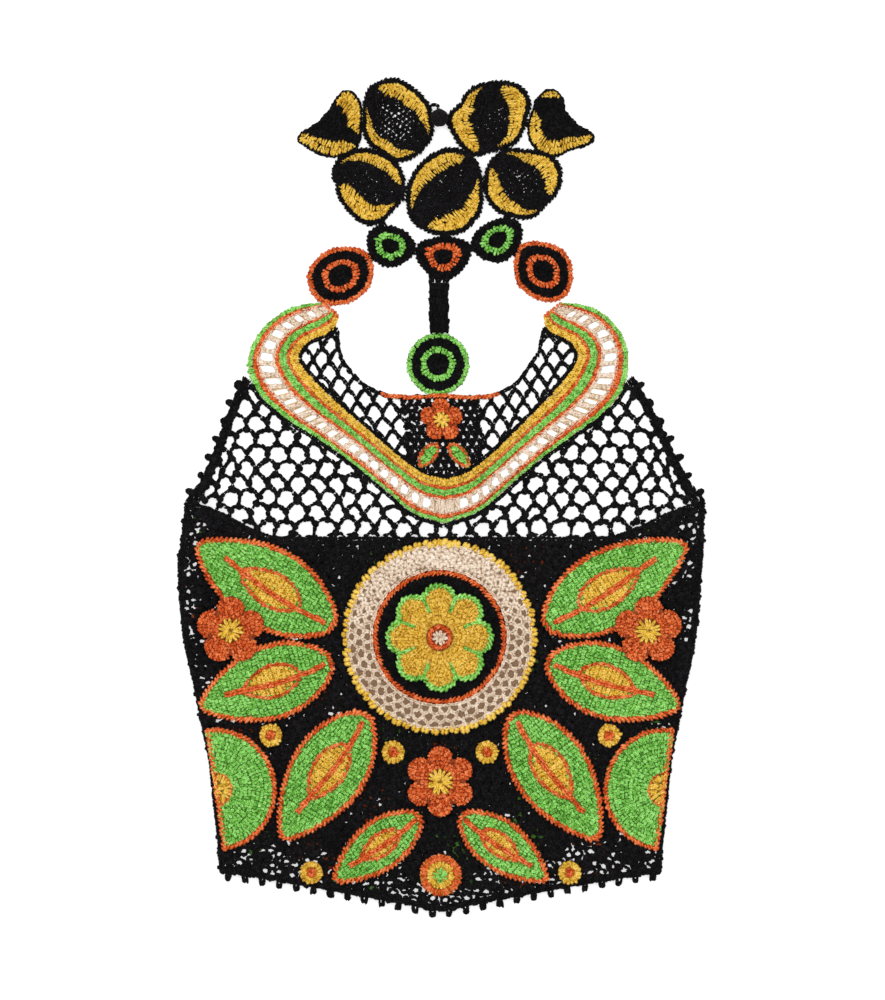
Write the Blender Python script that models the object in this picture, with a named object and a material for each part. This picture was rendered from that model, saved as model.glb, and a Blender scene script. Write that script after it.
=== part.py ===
"""Crochet halter top, laid flat on a table.

Metres, +Z up.  The cloth lies in the XY plane with the collar towards +Y; the origin is the middle of
the outline, on the table.  The pieces are laid out on a symmetric cut, then `laid` gives each point the
small sideways drift that the soft cloth takes on the table, and `settle` lifts the front where it lies
on the back.
"""
import math

import bmesh
import bpy
import numpy as np
from mathutils import Matrix, Vector

# ---------------------------------------------------------------- driving dimensions

MM = 0.001
WALL = 2.0 * MM                 # one layer of crocheted cotton
MOTIF_WALL = 2.2 * MM           # a motif worked in a firmer stitch
SEAM = 0.3 * MM                 # gap left between joined pieces
LAYER_LIFT = WALL + SEAM        # the front lies this high where the back is under it

CENTER_X, CENTER_Y = 3.25 * MM, 0.27 * MM    # moves the cut so that its box is centred on the origin

# Sideways drift of the middle line as laid: height along the garment, shift
DRIFT = (
    # y        dx
    (-0.320, -0.0040),
    (-0.060, -0.0050),
    (0.000, -0.0005),
    (0.040, -0.0020),
    (0.100, -0.0062),
    (0.147, -0.0028),
)

# Half width of the body at the side folds
SIDES = (
    # y       half width
    (-0.281, 0.1655),
    (-0.257, 0.1670),
    (-0.227, 0.1705),
    (-0.197, 0.1735),
    (-0.167, 0.1795),
    (-0.137, 0.1855),
    (-0.107, 0.1920),
    (-0.077, 0.1952),
    (-0.050, 0.1965),
    (-0.020, 0.1955),
    (-0.002, 0.1945),
)

# Armhole, from the underarm up to the corner of the yoke
ARMHOLE = (
    # x      y
    (0.1945, -0.0020),
    (0.1840, 0.0120),
    (0.1765, 0.0260),
    (0.1690, 0.0420),
    (0.1610, 0.0600),
    (0.1530, 0.0770),
    (0.1455, 0.0905),
)

# Yoke band: its outer edge and its inner edge, from the shoulder round to the middle of the front
YOKE_OUTER = (
    # x      y
    (0.0900, 0.1462),
    (0.1040, 0.1450),
    (0.1190, 0.1395),
    (0.1325, 0.1280),
    (0.1405, 0.1140),
    (0.1425, 0.0980),
    (0.1360, 0.0790),
    (0.1180, 0.0610),
    (0.0950, 0.0455),
    (0.0710, 0.0280),
    (0.0470, 0.0080),
    (0.0240, -0.0110),
    (0.0000, -0.0190),
)
YOKE_INNER = (
    # x      y
    (0.0770, 0.1355),
    (0.0800, 0.1270),
    (0.0885, 0.1220),
    (0.0985, 0.1170),
    (0.1050, 0.1055),
    (0.0990, 0.0945),
    (0.0880, 0.0820),
    (0.0750, 0.0690),
    (0.0610, 0.0560),
    (0.0460, 0.0420),
    (0.0300, 0.0280),
    (0.0150, 0.0180),
    (0.0000, 0.0145),
)
YOKE_STEPS = 26
# Neckline, from the shoulder down to its middle under the neck disc
NECKLINE = (
    # x      y
    (0.0770, 0.1250),
    (0.0750, 0.1100),
    (0.0670, 0.0960),
    (0.0560, 0.0845),
    (0.0400, 0.0770),
    (0.0200, 0.0755),
    (0.0000, 0.0770),
)

HEM_SIDE, HEM_POINT, HEM_POWER = -0.281, -0.310, 1.15
HEM_PICOTS, PICOT_WIDTH, PICOT_TALL = 26, 0.0042, 0.0050
ARMHOLE_PICOTS = 7

# Top edge of the back: low in the middle, rising to the underarms
BACK_TOP_MID, BACK_TOP_SIDE = -0.032, -0.006
BACK_TOP_FLAT, BACK_TOP_RISE = 0.120, 0.073
TOP_MARKS = (0.195, 0.182, 0.168, 0.154, 0.140, 0.126, 0.110, 0.0)
GROUND_OVERLAP = 0.002          # how far the close-worked front reaches above the back's top edge
RAMP = 0.018                    # the net comes down from the back to the table over this length

# Open net: pitch of its cells and size of its gaps
CELL_WIDTH, CELL_ROW = 0.0147, 0.0112
GAP_WIDTH, GAP_HEIGHT = 0.0112, 0.0108
NET_RIM = 0.0017
NET_FOOT, NET_UNEVEN = -0.0240, 0.0010
NET_ROWS, NET_COLUMNS = 14, 14

# Openwork row of the yoke band: how far across the band it lies, and its gaps
OPENWORK_FROM, OPENWORK_TO = 0.22, 0.46
OPENWORK_PITCH, OPENWORK_BAR = 0.0108, 0.0032

# Loops of the neck net beside the neckline
LOOP_PITCH, LOOP_ROW, LOOP_BAR, LOOP_RIM = 0.0125, 0.0102, 0.0028, 0.0020
LOOP_FOOT, LOOP_ROWS, LOOP_COLUMNS = 0.0620, 6, 9
CLOSE_WORK_HALF = 0.0260        # the middle of the neck net is worked close, this far to each side

# Motif leaves on the left half: foot, tip, widest part
LEAVES = (
    # name      foot x   foot y    tip x    tip y    width
    ("upper", -0.0785, -0.0960, -0.1830, -0.0345, 0.0600),
    ("middle", -0.0800, -0.1215, -0.1795, -0.1560, 0.0560),
    ("lower", -0.0545, -0.1610, -0.1180, -0.2550, 0.0570),
    ("hem", -0.0150, -0.2370, -0.0800, -0.2860, 0.0380),
)
NECK_LEAF = (-0.0045, 0.0410, -0.0190, 0.0228, 0.0125)
LEAF_STATIONS, LEAF_STRIPS = 9, 4
LEAF_RIB = 0.0007               # the middle rib stands this much above the leaf

ROUNDEL_CENTER, ROUNDEL_RADIUS, ROUNDEL_SCALLOPS = (0.0, -0.104), 0.0740, 24
DAISY_RADIUS, DAISY_PETALS = 0.0400, 8
DAISY_CENTER_RADIUS = 0.0100

FAN_Y, FAN_RADIUS, FAN_TURN, FAN_INSET = -0.218, 0.0460, math.radians(8.0), 0.0030

# Flowers and rosettes: middle, radius, petals
FLOWERS = (
    # name             x        y       radius  petals  leaves under it
    ("flower_left", -0.1560, -0.0990, 0.0260, 5, 1),
    ("flower_right", 0.1560, -0.0990, 0.0260, 5, 1),
    ("flower_center", 0.0000, -0.2120, 0.0270, 6, 0),
    ("neck_flower", 0.0000, 0.0585, 0.0165, 5, 0),
)
ROSETTE_RADIUS, HEM_ROSETTE_RADIUS = 0.0085, 0.0155
ROSETTES = (
    # x        y
    (-0.1265, -0.1775),
    (-0.0965, -0.2800),
    (-0.0350, -0.1900),
)
HEM_ROSETTE = (0.0, -0.2820)

# Discs round the neckline and the collar: middle, and how far the edge lies from it in mm,
# every 22.5 degrees from the right
DISCS = (
    ("neck_disc", -0.0060, 0.1004, (23.2,) * 16),
    ("collar_disc_center", -0.0020, 0.1811,
     (20.0, 21.7, 18.2, 15.5, 14.7, 15.3, 17.4, 21.5, 20.3, 18.0, 17.5, 17.2, 16.7, 17.1, 17.3, 17.9)),
    ("collar_disc_small_left", -0.0420, 0.1890,
     (19.3, 16.9, 15.4, 14.8, 14.6, 15.9, 18.3, 18.1, 16.9, 16.2, 15.9, 15.6, 15.8, 15.8, 16.6, 18.3)),
    ("collar_disc_small_right", 0.0387, 0.1935,
     (17.4, 19.9, 20.8, 17.5, 15.8, 14.7, 15.2, 16.5, 19.4, 19.8, 18.4, 17.1, 17.1, 16.5, 15.7, 15.9)),
    ("collar_disc_large_left", -0.0789, 0.1667,
     (24.2, 25.8, 26.0, 22.8, 21.1, 21.1, 21.4, 23.1, 25.2, 25.3, 25.5, 23.7, 21.8, 21.1, 21.4, 23.0)),
    ("collar_disc_large_right", 0.0729, 0.1701,
     (21.7, 21.6, 21.5, 21.0, 21.5, 24.3, 26.0, 23.4, 21.8, 21.7, 20.7, 21.1, 22.6, 24.5, 25.4, 23.3)),
)
DISC_THICK, DISC_DOME = 0.0022, 0.0008

STRAP_TOP, STRAP_FOOT, STRAP_WIDTH = (-0.0056, 0.1615), (-0.0052, 0.1240), 0.0140

# Cupped petals of the collar: middle, rim on the near and the far side, reach every 22.5 degrees
PETALS = (
    ("collar_petal_front_left", -0.0576, 0.2344, 0.0004, 0.0036,
     (27.2, 27.2, 26.2, 26.0, 26.9, 28.5, 29.9, 30.4, 24.9, 25.0, 25.1, 27.1, 30.1, 28.9, 26.1, 27.9)),
    ("collar_petal_front_center", -0.0003, 0.2283, 0.0004, 0.0050,
     (28.2, 29.7, 33.6, 34.7, 33.3, 30.8, 29.1, 29.0, 29.1, 31.5, 33.2, 32.2, 32.3, 32.0, 30.7, 29.9)),
    ("collar_petal_front_right", 0.0568, 0.2364, 0.0004, 0.0040,
     (30.1, 31.4, 29.4, 25.3, 24.3, 27.1, 28.6, 28.8, 28.7, 29.6, 28.9, 26.8, 27.5, 27.5, 25.1, 27.0)),
    ("collar_petal_back_left", -0.0368, 0.2829, 0.0002, 0.0050,
     (26.8, 26.9, 26.3, 27.6, 30.6, 32.0, 31.2, 27.5, 25.6, 27.0, 27.8, 27.2, 31.5, 30.6, 29.6, 29.3)),
    ("collar_petal_back_right", 0.0330, 0.2847, 0.0002, 0.0050,
     (27.7, 33.1, 33.2, 29.5, 26.4, 26.2, 26.0, 25.3, 32.5, 31.2, 31.1, 31.2, 25.8, 25.0, 27.2, 27.4)),
)
PETAL_FLAT = 0.42               # share of a petal's radius that lies flat

# Folded side petals: middle, reach every 15 degrees
FOLDED = (
    ("collar_petal_side_left", -0.0818, 0.2771,
     (18.2, 18.8, 21.0, 25.3, 28.9, 29.8, 22.9, 15.7, 13.6, 13.0, 13.4, 14.9, 20.4, 31.4, 27.1, 25.0,
      23.0, 22.1, 21.5, 21.1, 21.5, 21.2, 20.0, 18.6)),
    ("collar_petal_side_right", 0.0812, 0.2783,
     (18.7, 15.3, 13.7, 13.8, 14.9, 22.1, 28.2, 28.1, 25.2, 21.4, 19.9, 19.4, 19.6, 20.4, 21.1, 21.8,
      22.5, 22.9, 22.5, 21.8, 20.9, 22.7, 28.3, 31.5)),
)
FOLDED_THICK, FOLDED_FALL = 0.0042, 0.45

BALL_RADIUS, BALL_MIDDLE = 0.0066, (-0.0050, 0.2838, 0.0086)

BLACK = (0.010, 0.009, 0.010)
GREEN = (0.140, 0.500, 0.070)
ORANGE = (0.780, 0.120, 0.020)
YELLOW = (0.800, 0.420, 0.030)
CREAM = (0.760, 0.600, 0.500)

# ---------------------------------------------------------------- the flat cut


def laid(x, y):
    """A point of the symmetric cut, where the cloth puts it on the table."""
    heights = [row[0] for row in DRIFT]
    shifts = [row[1] for row in DRIFT]
    return x + float(np.interp(y, heights, shifts)) + CENTER_X, y + CENTER_Y


def ease(t):
    t = min(max(t, 0.0), 1.0)
    return t * t * (3.0 - 2.0 * t)


def back_top(x):
    """Height of the back's top edge at x on the cut."""
    rise = BACK_TOP_SIDE - BACK_TOP_MID
    return BACK_TOP_MID + rise * ease((abs(x) - BACK_TOP_FLAT) / BACK_TOP_RISE)


def ground_top(x):
    return back_top(x) + GROUND_OVERLAP


def settle(x, y):
    """How high the front's underside lies at a point of the cut."""
    down = (y - ground_top(x)) / RAMP
    return LAYER_LIFT * min(max(1.0 - down, 0.0), 1.0)


def hem(x):
    share = max(1.0 - abs(x) / SIDES[0][1], 0.0)
    return HEM_SIDE + (HEM_POINT - HEM_SIDE) * share ** HEM_POWER


def half_width(y):
    return float(np.interp(y, [row[0] for row in SIDES], [row[1] for row in SIDES]))


def smooth_line(rows, per_span):
    """A Catmull-Rom curve through the rows, per_span points to a span."""
    points = [Vector((row[0], row[1])) for row in rows]
    points = [2 * points[0] - points[1]] + points + [2 * points[-1] - points[-2]]
    line = []
    for a, b, c, d in zip(points, points[1:], points[2:], points[3:]):
        for step in range(per_span):
            t = step / per_span
            line.append(0.5 * (2 * b + (c - a) * t + (2 * a - 5 * b + 4 * c - d) * t ** 2
                               + (3 * b - a - 3 * c + d) * t ** 3))
    line.append(points[-2])
    return line


def spaced(line, count):
    """The same line, as count + 1 points at equal steps along it."""
    steps = [(b - a).length for a, b in zip(line, line[1:])]
    along = np.concatenate([[0.0], np.cumsum(steps)])
    marks = np.linspace(0.0, along[-1], count + 1)
    xs = np.interp(marks, along, [point.x for point in line])
    ys = np.interp(marks, along, [point.y for point in line])
    return [Vector((x, y)) for x, y in zip(xs, ys)]


def mirrored(line):
    return [Vector((-point.x, point.y)) for point in reversed(line)]


def with_picots(line, count):
    """The line with count small knobs standing on its right-hand side."""
    marks = spaced(line, 2 * count)
    edged = [marks[0]]
    for before, middle, after in zip(marks[0::2], marks[1::2], marks[2::2]):
        along = (after - before).normalized()
        out = Vector((along.y, -along.x))
        foot, head = along * PICOT_WIDTH * 0.5, along * PICOT_WIDTH * 0.42
        edged += [middle - foot, middle - head + out * PICOT_TALL,
                  middle + head + out * PICOT_TALL, middle + foot, after]
    return edged


def inside(outline, point):
    """True where the point lies within the outline."""
    odd = False
    for a, b in zip(outline, outline[1:] + outline[:1]):
        if (a.y > point.y) != (b.y > point.y):
            if point.x < a.x + (b.x - a.x) * (point.y - a.y) / (b.y - a.y):
                odd = not odd
    return odd


def clearance(outline, point):
    """Distance from the point to the outline."""
    least = 1.0
    for a, b in zip(outline, outline[1:] + outline[:1]):
        span = b - a
        t = min(max((point - a).dot(span) / max(span.length_squared, 1e-12), 0.0), 1.0)
        least = min(least, (a + span * t - point).length)
    return least


def wobble(a, b, phase):
    """The same small unevenness on every run, between -1 and 1."""
    return math.sin(2.3 * a + 5.1 * b + phase) * math.cos(3.7 * a - 1.9 * b + 2.0 * phase)


# ---------------------------------------------------------------- building


def cloth(name, color):
    material = bpy.data.materials.new(name)
    material.use_nodes = True
    shader = material.node_tree.nodes["Principled BSDF"]
    shader.inputs["Base Color"].default_value = (*color, 1.0)
    shader.inputs["Roughness"].default_value = 0.9
    shader.inputs["Metallic"].default_value = 0.0
    return material


def add_object(name, mesh, color, smooth=False):
    part = bpy.data.objects.new(name, mesh)
    mesh.materials.clear()
    mesh.materials.append(cloth(name + "_cotton", color))
    if smooth:
        mesh.shade_smooth()
        mesh.set_sharp_from_angle(angle=math.radians(50.0))
    garment.objects.link(part)
    return part


def flat_piece(name, outline, holes, color, thick=WALL, follow=None):
    """A cloth panel: a 2D curve with its gaps, filled, thickened and settled on what lies below."""
    curve = bpy.data.curves.new(name, "CURVE")
    curve.dimensions = "2D"
    curve.fill_mode = "BOTH"
    curve.extrude = thick / 2
    for ring in [outline] + holes:
        spline = curve.splines.new("POLY")
        spline.points.add(len(ring) - 1)
        for target, point in zip(spline.points, ring):
            target.co = (point.x, point.y, 0.0, 1.0)
        spline.use_cyclic_u = True
    sketch = bpy.data.objects.new(name + "_curve", curve)
    garment.objects.link(sketch)
    bpy.context.view_layer.update()
    evaluated = sketch.evaluated_get(bpy.context.evaluated_depsgraph_get())
    mesh = bpy.data.meshes.new_from_object(evaluated)
    bpy.data.objects.remove(sketch)
    shape = bmesh.new()
    shape.from_mesh(mesh)
    bmesh.ops.remove_doubles(shape, verts=shape.verts, dist=1e-6)
    for vert in shape.verts:
        x, y = vert.co.x, vert.co.y
        lift = follow(x, y) if follow else 0.0
        vert.co.z += thick / 2 + lift
        vert.co.x, vert.co.y = laid(x, y)
    bmesh.ops.recalc_face_normals(shape, faces=shape.faces)
    shape.to_mesh(mesh)
    shape.free()
    return add_object(name, mesh, color)


def thicken(shape, thickness):
    """Gives a flat sheet its wall: the sheet stays as the underside, and its copy is raised."""
    sheet = list(shape.faces)
    raised = bmesh.ops.extrude_face_region(shape, geom=sheet, use_keep_orig=True)
    for item in raised["geom"]:
        if isinstance(item, bmesh.types.BMVert):
            item.co.z += thickness(item.co)
    bmesh.ops.recalc_face_normals(shape, faces=shape.faces)


def finish(shape, name, color, base, place=laid):
    """Puts a worked motif in its place on the cut and lifts it onto what carries it."""
    for vert in shape.verts:
        x, y = vert.co.x, vert.co.y
        vert.co.z += base(x, y)
        vert.co.x, vert.co.y = place(x, y)
    mesh = bpy.data.meshes.new(name)
    shape.to_mesh(mesh)
    shape.free()
    return add_object(name, mesh, color, smooth=True)


def spun_sheet(rings, steps):
    """A flat round sheet: a radial row of stitches spun once round the middle."""
    shape = bmesh.new()
    row = [shape.verts.new((radius, 0.0, 0.0)) for radius in rings]
    spokes = [shape.edges.new(pair) for pair in zip(row, row[1:])]
    bmesh.ops.spin(shape, geom=row + spokes, cent=(0, 0, 0), axis=(0, 0, 1),
                   angle=2 * math.pi, steps=steps, use_merge=True)
    bmesh.ops.remove_doubles(shape, verts=shape.verts, dist=1e-6)
    return shape


def on_ground(*between):
    """Height of a motif's underside above the front, with the walls named between the two."""
    lift = WALL + SEAM + sum(wall + SEAM for wall in between)
    return lambda x, y: settle(x, y) + lift


def on_table(x, y):
    return 0.0


def table_place(x, y):
    return x + CENTER_X, y + CENTER_Y


# ---------------------------------------------------------------- body panels


def side_line():
    """The right side fold, from the hem up."""
    return [Vector((row[1], row[0])) for row in SIDES]


def hem_line():
    """The hem from left to right, with its picots."""
    steps = 40
    reach = SIDES[0][1]
    line = [Vector((x, hem(x))) for x in np.linspace(-reach, reach, steps + 1)]
    return with_picots(line, HEM_PICOTS)


def top_edge_right(height):
    """The right half of a top edge, from the side fold to the middle."""
    right = [Vector((x, height(x))) for x in TOP_MARKS]
    right[0].x = half_width(right[0].y)
    return right


def top_edge(height):
    """A top edge from right to left along the given height function."""
    right = top_edge_right(height)
    return right + mirrored(right)[1:]


def body_outline(height):
    """Outline of a body panel, anticlockwise from the left end of the hem."""
    top = top_edge(height)
    sides = [point for point in side_line()[1:] if point.y < top[0].y - 2 * MM]
    return hem_line() + sides + top + mirrored(sides)


def back_panel():
    flat_piece("back_panel", body_outline(back_top), [], BLACK)


def front_ground():
    flat_piece("front_ground", body_outline(ground_top), [], BLACK, follow=settle)


def net_outline():
    """The right-hand net, from its foot at the middle anticlockwise round to the yoke."""
    foot = [point + Vector((0.0, SEAM)) for point in reversed(top_edge_right(ground_top))]
    foot[0].x = SEAM / 2
    armhole = with_picots(smooth_line(ARMHOLE, 3), ARMHOLE_PICOTS)
    outer = yoke_edges()[0]
    corner = max(range(len(outer)), key=lambda index: outer[index].x)
    seam = offset(outer, SEAM)[corner + 2:]
    seam[-1] = Vector((SEAM / 2, seam[-1].y))
    return foot + armhole + seam


def net_gaps(outline):
    """Six-sided gaps in staggered rows, kept clear of the net's rim."""
    gaps = []
    for row in range(NET_ROWS):
        for column in range(NET_COLUMNS):
            x = (column + 0.5 * (row % 2)) * CELL_WIDTH + NET_UNEVEN * wobble(column, row, 0.4)
            y = NET_FOOT + row * CELL_ROW + NET_UNEVEN * wobble(row, column, 1.3)
            wide = GAP_WIDTH / 2 * (1.0 + 0.10 * wobble(column, row, 2.1))
            tall = GAP_HEIGHT / 2 * (1.0 + 0.10 * wobble(row, column, 3.0))
            gap = [Vector((x, y + tall)), Vector((x - wide, y + 0.42 * tall)),
                   Vector((x - wide, y - 0.50 * tall)), Vector((x, y - 0.92 * tall)),
                   Vector((x + wide, y - 0.50 * tall)), Vector((x + wide, y + 0.42 * tall))]
            if all(inside(outline, p) and clearance(outline, p) > NET_RIM for p in gap):
                gaps.append(gap)
    return gaps


def front_nets():
    outline = net_outline()
    gaps = net_gaps(outline)
    flat_piece("front_net_right", outline, gaps, BLACK, follow=settle)
    flat_piece("front_net_left", mirrored(outline), [mirrored(gap) for gap in gaps], BLACK,
               follow=settle)
    return 2 * len(gaps)


# ---------------------------------------------------------------- yoke and neck


def offset(line, distance):
    """The line moved sideways, to its left for a positive distance."""
    moved = []
    for index, point in enumerate(line):
        before, after = line[max(index - 1, 0)], line[min(index + 1, len(line) - 1)]
        along = (after - before).normalized()
        moved.append(point + Vector((-along.y, along.x)) * distance)
    return moved


def yoke_edges():
    """Outer and inner edge of the right half of the band, at matching steps."""
    return (spaced(smooth_line(YOKE_OUTER, 6), YOKE_STEPS),
            spaced(smooth_line(YOKE_INNER, 6), YOKE_STEPS))


def yoke_band():
    """The band is a loft between its two edges; the gaps lie at a set share of the way across."""
    outer, inner = yoke_edges()
    outline = outer + mirrored(outer)[1:] + inner_back(inner)
    length = sum((b - a).length for a, b in zip(outer, outer[1:]))
    count = round(length / OPENWORK_PITCH)
    fine_outer, fine_inner = spaced(outer, 4 * count), spaced(inner, 4 * count)
    gaps = []
    for gap in range(2, count):
        ends = [4 * gap - 3, 4 * gap - 1]
        rim = [fine_outer[e].lerp(fine_inner[e], OPENWORK_FROM) for e in ends]
        rim += [fine_outer[e].lerp(fine_inner[e], OPENWORK_TO) for e in reversed(ends)]
        middle = sum(rim, Vector((0.0, 0.0))) / 4
        top = (rim[2] + rim[3]) / 2 + (rim[2] + rim[3] - rim[0] - rim[1]) * 0.06
        rim = rim[:2] + [rim[2], top, rim[3]]
        along = (fine_outer[ends[1]] - fine_outer[ends[0]]).normalized()
        half = (OPENWORK_PITCH - OPENWORK_BAR) / 2
        for point in rim:
            span = (point - middle).dot(along)
            if abs(span) > MM:
                point += along * (math.copysign(half, span) - span)
        gaps.append(rim)
    gaps += [mirrored(rim) for rim in gaps]
    flat_piece("yoke_band", outline, gaps, ORANGE, thick=MOTIF_WALL, follow=settle)
    return len(gaps)


def inner_back(inner):
    """The inner edge from the left shoulder back to the right one."""
    left = [Vector((-point.x, point.y)) for point in inner]
    return left + list(reversed(inner))[1:]


def neck_net():
    """The net inside the band: open loops at the sides, close work in the middle."""
    outer, inner = yoke_edges()
    edge = offset(inner, -SEAM)[1:]
    neck = smooth_line(NECKLINE, 4)
    edge_right = [Vector((max(point.x, 0.0), point.y)) for point in edge]
    outline = edge_right + mirrored(edge_right)[1:] + [Vector((-p.x, p.y)) for p in neck]
    outline += list(reversed(neck))[1:]
    gaps = []
    for row in range(LOOP_ROWS):
        for column in range(-LOOP_COLUMNS, LOOP_COLUMNS + 1):
            x = (column + 0.5 * (row % 2)) * LOOP_PITCH
            y = LOOP_FOOT + row * LOOP_ROW
            half_x, half_y = (LOOP_PITCH - LOOP_BAR) / 2, (LOOP_ROW - LOOP_BAR) / 2
            gap = [Vector((x, y + half_y)), Vector((x - half_x, y)), Vector((x, y - half_y)),
                   Vector((x + half_x, y))]
            clear = all(inside(outline, p) and clearance(outline, p) > LOOP_RIM for p in gap)
            if abs(x) > CLOSE_WORK_HALF and clear:
                gaps.append(gap)
    flat_piece("neck_net", outline, gaps, BLACK)
    return len(gaps)


# ---------------------------------------------------------------- motifs


def leaf(name, foot_x, foot_y, tip_x, tip_y, width, base):
    """A pointed leaf: a grid drawn to the leaf's outline, with a raised rib down its middle."""
    foot, tip = Vector((foot_x, foot_y)), Vector((tip_x, tip_y))
    along = (tip - foot).normalized()
    across = Vector((-along.y, along.x))
    length = (tip - foot).length
    shape = bmesh.new()
    bmesh.ops.create_grid(shape, x_segments=LEAF_STATIONS, y_segments=LEAF_STRIPS, size=1.0)
    for vert in shape.verts:
        t = (vert.co.x + 1.0) / 2
        breadth = width / 2 * (math.sin(math.pi * t ** 0.85) ** 0.75 * 0.94 + 0.06)
        point = foot + along * length * t + across * breadth * vert.co.y
        vert.co.x, vert.co.y = point

    def thickness(co):
        side = abs((Vector((co.x, co.y)) - foot).dot(across))
        return MOTIF_WALL + (LEAF_RIB if side < MM else 0.0)

    thicken(shape, thickness)
    return finish(shape, name, GREEN, base)


def leaves():
    for title, foot_x, foot_y, tip_x, tip_y, width in LEAVES:
        leaf(f"leaf_{title}_left", foot_x, foot_y, tip_x, tip_y, width, on_ground())
        leaf(f"leaf_{title}_right", -foot_x, foot_y, -tip_x, tip_y, width, on_ground())
    foot_x, foot_y, tip_x, tip_y, width = NECK_LEAF
    leaf("neck_leaf_left", foot_x, foot_y, tip_x, tip_y, width, on_ground())
    leaf("neck_leaf_right", -foot_x, foot_y, -tip_x, tip_y, width, on_ground())


def round_motif(name, center, radius, steps, rings, edge, thickness, color, base):
    """A motif worked in rounds; edge gives the radius at each angle, thickness at each ring."""
    shape = spun_sheet(rings, steps)
    for vert in shape.verts:
        angle = math.atan2(vert.co.y, vert.co.x)
        ring = vert.co.xy.length
        reach = radius * ring * (1.0 + (edge(angle) - 1.0) * ring ** 2)
        vert.co.x, vert.co.y = reach * math.cos(angle), reach * math.sin(angle)

    thicken(shape, lambda co: thickness(co.xy.length / radius))
    bmesh.ops.translate(shape, verts=shape.verts, vec=(center[0], center[1], 0.0))
    return finish(shape, name, color, base)


def petal_edge(petals, depth, turn=0.0):
    """Radius of a flower's outline: round petals with notches between."""
    def edge(angle):
        return 1.0 - depth * (1.0 - abs(math.cos(petals * (angle - turn) / 2)) ** 0.7)
    return edge


def roundel():
    """The round medallion: a scalloped ring, thinner where the openwork lies."""
    round_motif("roundel", ROUNDEL_CENTER, ROUNDEL_RADIUS, 2 * ROUNDEL_SCALLOPS,
                (0.0, 0.60, 0.70, 0.92, 1.0), petal_edge(ROUNDEL_SCALLOPS, 0.030),
                lambda r: MOTIF_WALL if r > 0.9 or 0.65 < r < 0.75 else WALL,
                CREAM, on_ground())
    round_motif("daisy", ROUNDEL_CENTER, DAISY_RADIUS, 4 * DAISY_PETALS, (0.0, 0.45, 0.8, 1.0),
                petal_edge(DAISY_PETALS, 0.22), lambda r: MOTIF_WALL * (0.8 if r > 0.7 else 1.1),
                YELLOW, on_ground(MOTIF_WALL))
    round_motif("daisy_center", ROUNDEL_CENTER, DAISY_CENTER_RADIUS, 14, (0.0, 0.6, 1.0),
                lambda angle: 1.0, lambda r: MOTIF_WALL if r > 0.8 else MOTIF_WALL * 1.3,
                ORANGE, on_ground(MOTIF_WALL, 1.1 * MOTIF_WALL))


def side_fan(name, sign):
    """A half-round fan of rows, its flat side along the side fold."""
    shape = bmesh.new()
    rings = (0.0, 0.5, 1.0)
    row = [shape.verts.new((0.0, -radius, 0.0)) for radius in rings]
    spokes = [shape.edges.new(pair) for pair in zip(row, row[1:])]
    bmesh.ops.spin(shape, geom=row + spokes, cent=(0, 0, 0), axis=(0, 0, 1),
                   angle=math.pi, steps=14, use_merge=False)
    bmesh.ops.remove_doubles(shape, verts=shape.verts, dist=1e-6)
    thicken(shape, lambda co: MOTIF_WALL)
    x = -(half_width(FAN_Y) - FAN_INSET)
    place = Matrix.Translation((x, FAN_Y, 0.0)) @ Matrix.Rotation(FAN_TURN, 4, "Z")
    place = place @ Matrix.Diagonal((FAN_RADIUS, FAN_RADIUS, 1.0, 1.0))
    bmesh.ops.transform(shape, matrix=place, verts=shape.verts)
    if sign > 0:
        bmesh.ops.scale(shape, verts=shape.verts, vec=(-1.0, 1.0, 1.0))
        bmesh.ops.reverse_faces(shape, faces=shape.faces)
    return finish(shape, name, GREEN, on_ground())


def flowers_and_rosettes():
    for name, x, y, radius, petals, under in FLOWERS:
        round_motif(name, (x, y), radius, 4 * petals, (0.0, 0.36, 0.75, 1.0),
                    petal_edge(petals, 0.30, math.pi / 2),
                    lambda r: MOTIF_WALL * (1.35 if r < 0.2 else 1.0), ORANGE,
                    on_ground(*[MOTIF_WALL] * under))
    spots = list(ROSETTES) + [(-x, y) for x, y in ROSETTES]
    for number, spot in enumerate(spots, start=1):
        round_motif(f"rosette_{number}", spot, ROSETTE_RADIUS, 12, (0.0, 0.55, 1.0),
                    lambda angle: 1.0, lambda r: MOTIF_WALL * (1.25 if r < 0.7 else 0.9),
                    YELLOW, on_ground())
    round_motif("hem_rosette", HEM_ROSETTE, HEM_ROSETTE_RADIUS, 16, (0.0, 0.45, 0.75, 1.0),
                lambda angle: 1.0, lambda r: MOTIF_WALL * (1.2 if r < 0.5 else 1.0),
                YELLOW, on_ground())


# ---------------------------------------------------------------- collar


def reach_at(reaches, angle):
    """How far an outline lies from its middle, on a smooth curve through its equal steps."""
    spot = angle / (2 * math.pi) * len(reaches) % len(reaches)
    step, part = int(spot), spot - int(spot)
    before, here, after, beyond = (reaches[(step + move) % len(reaches)] for move in (-1, 0, 1, 2))
    bend = 2 * before - 5 * here + 4 * after - beyond + part * (3 * (here - after) + beyond - before)
    return MM * (here + 0.5 * part * (after - before + part * bend))


def reach_out(shape, reaches, x, y):
    """Draws a unit round out to its outline and moves it to its middle."""
    for vert in shape.verts:
        reach = reach_at(reaches, math.atan2(vert.co.y, vert.co.x) % (2 * math.pi))
        vert.co.x, vert.co.y = x + vert.co.x * reach, y + vert.co.y * reach


def disc(name, x, y, reaches, color):
    """A ring disc worked in rounds, a little domed."""
    shape = spun_sheet((0.0, 0.35, 0.7, 1.0), 24)
    thicken(shape, lambda co: DISC_THICK + DISC_DOME * (1.0 - co.xy.length ** 2))
    reach_out(shape, reaches, x, y)
    return finish(shape, name, color, on_table, table_place)


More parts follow.
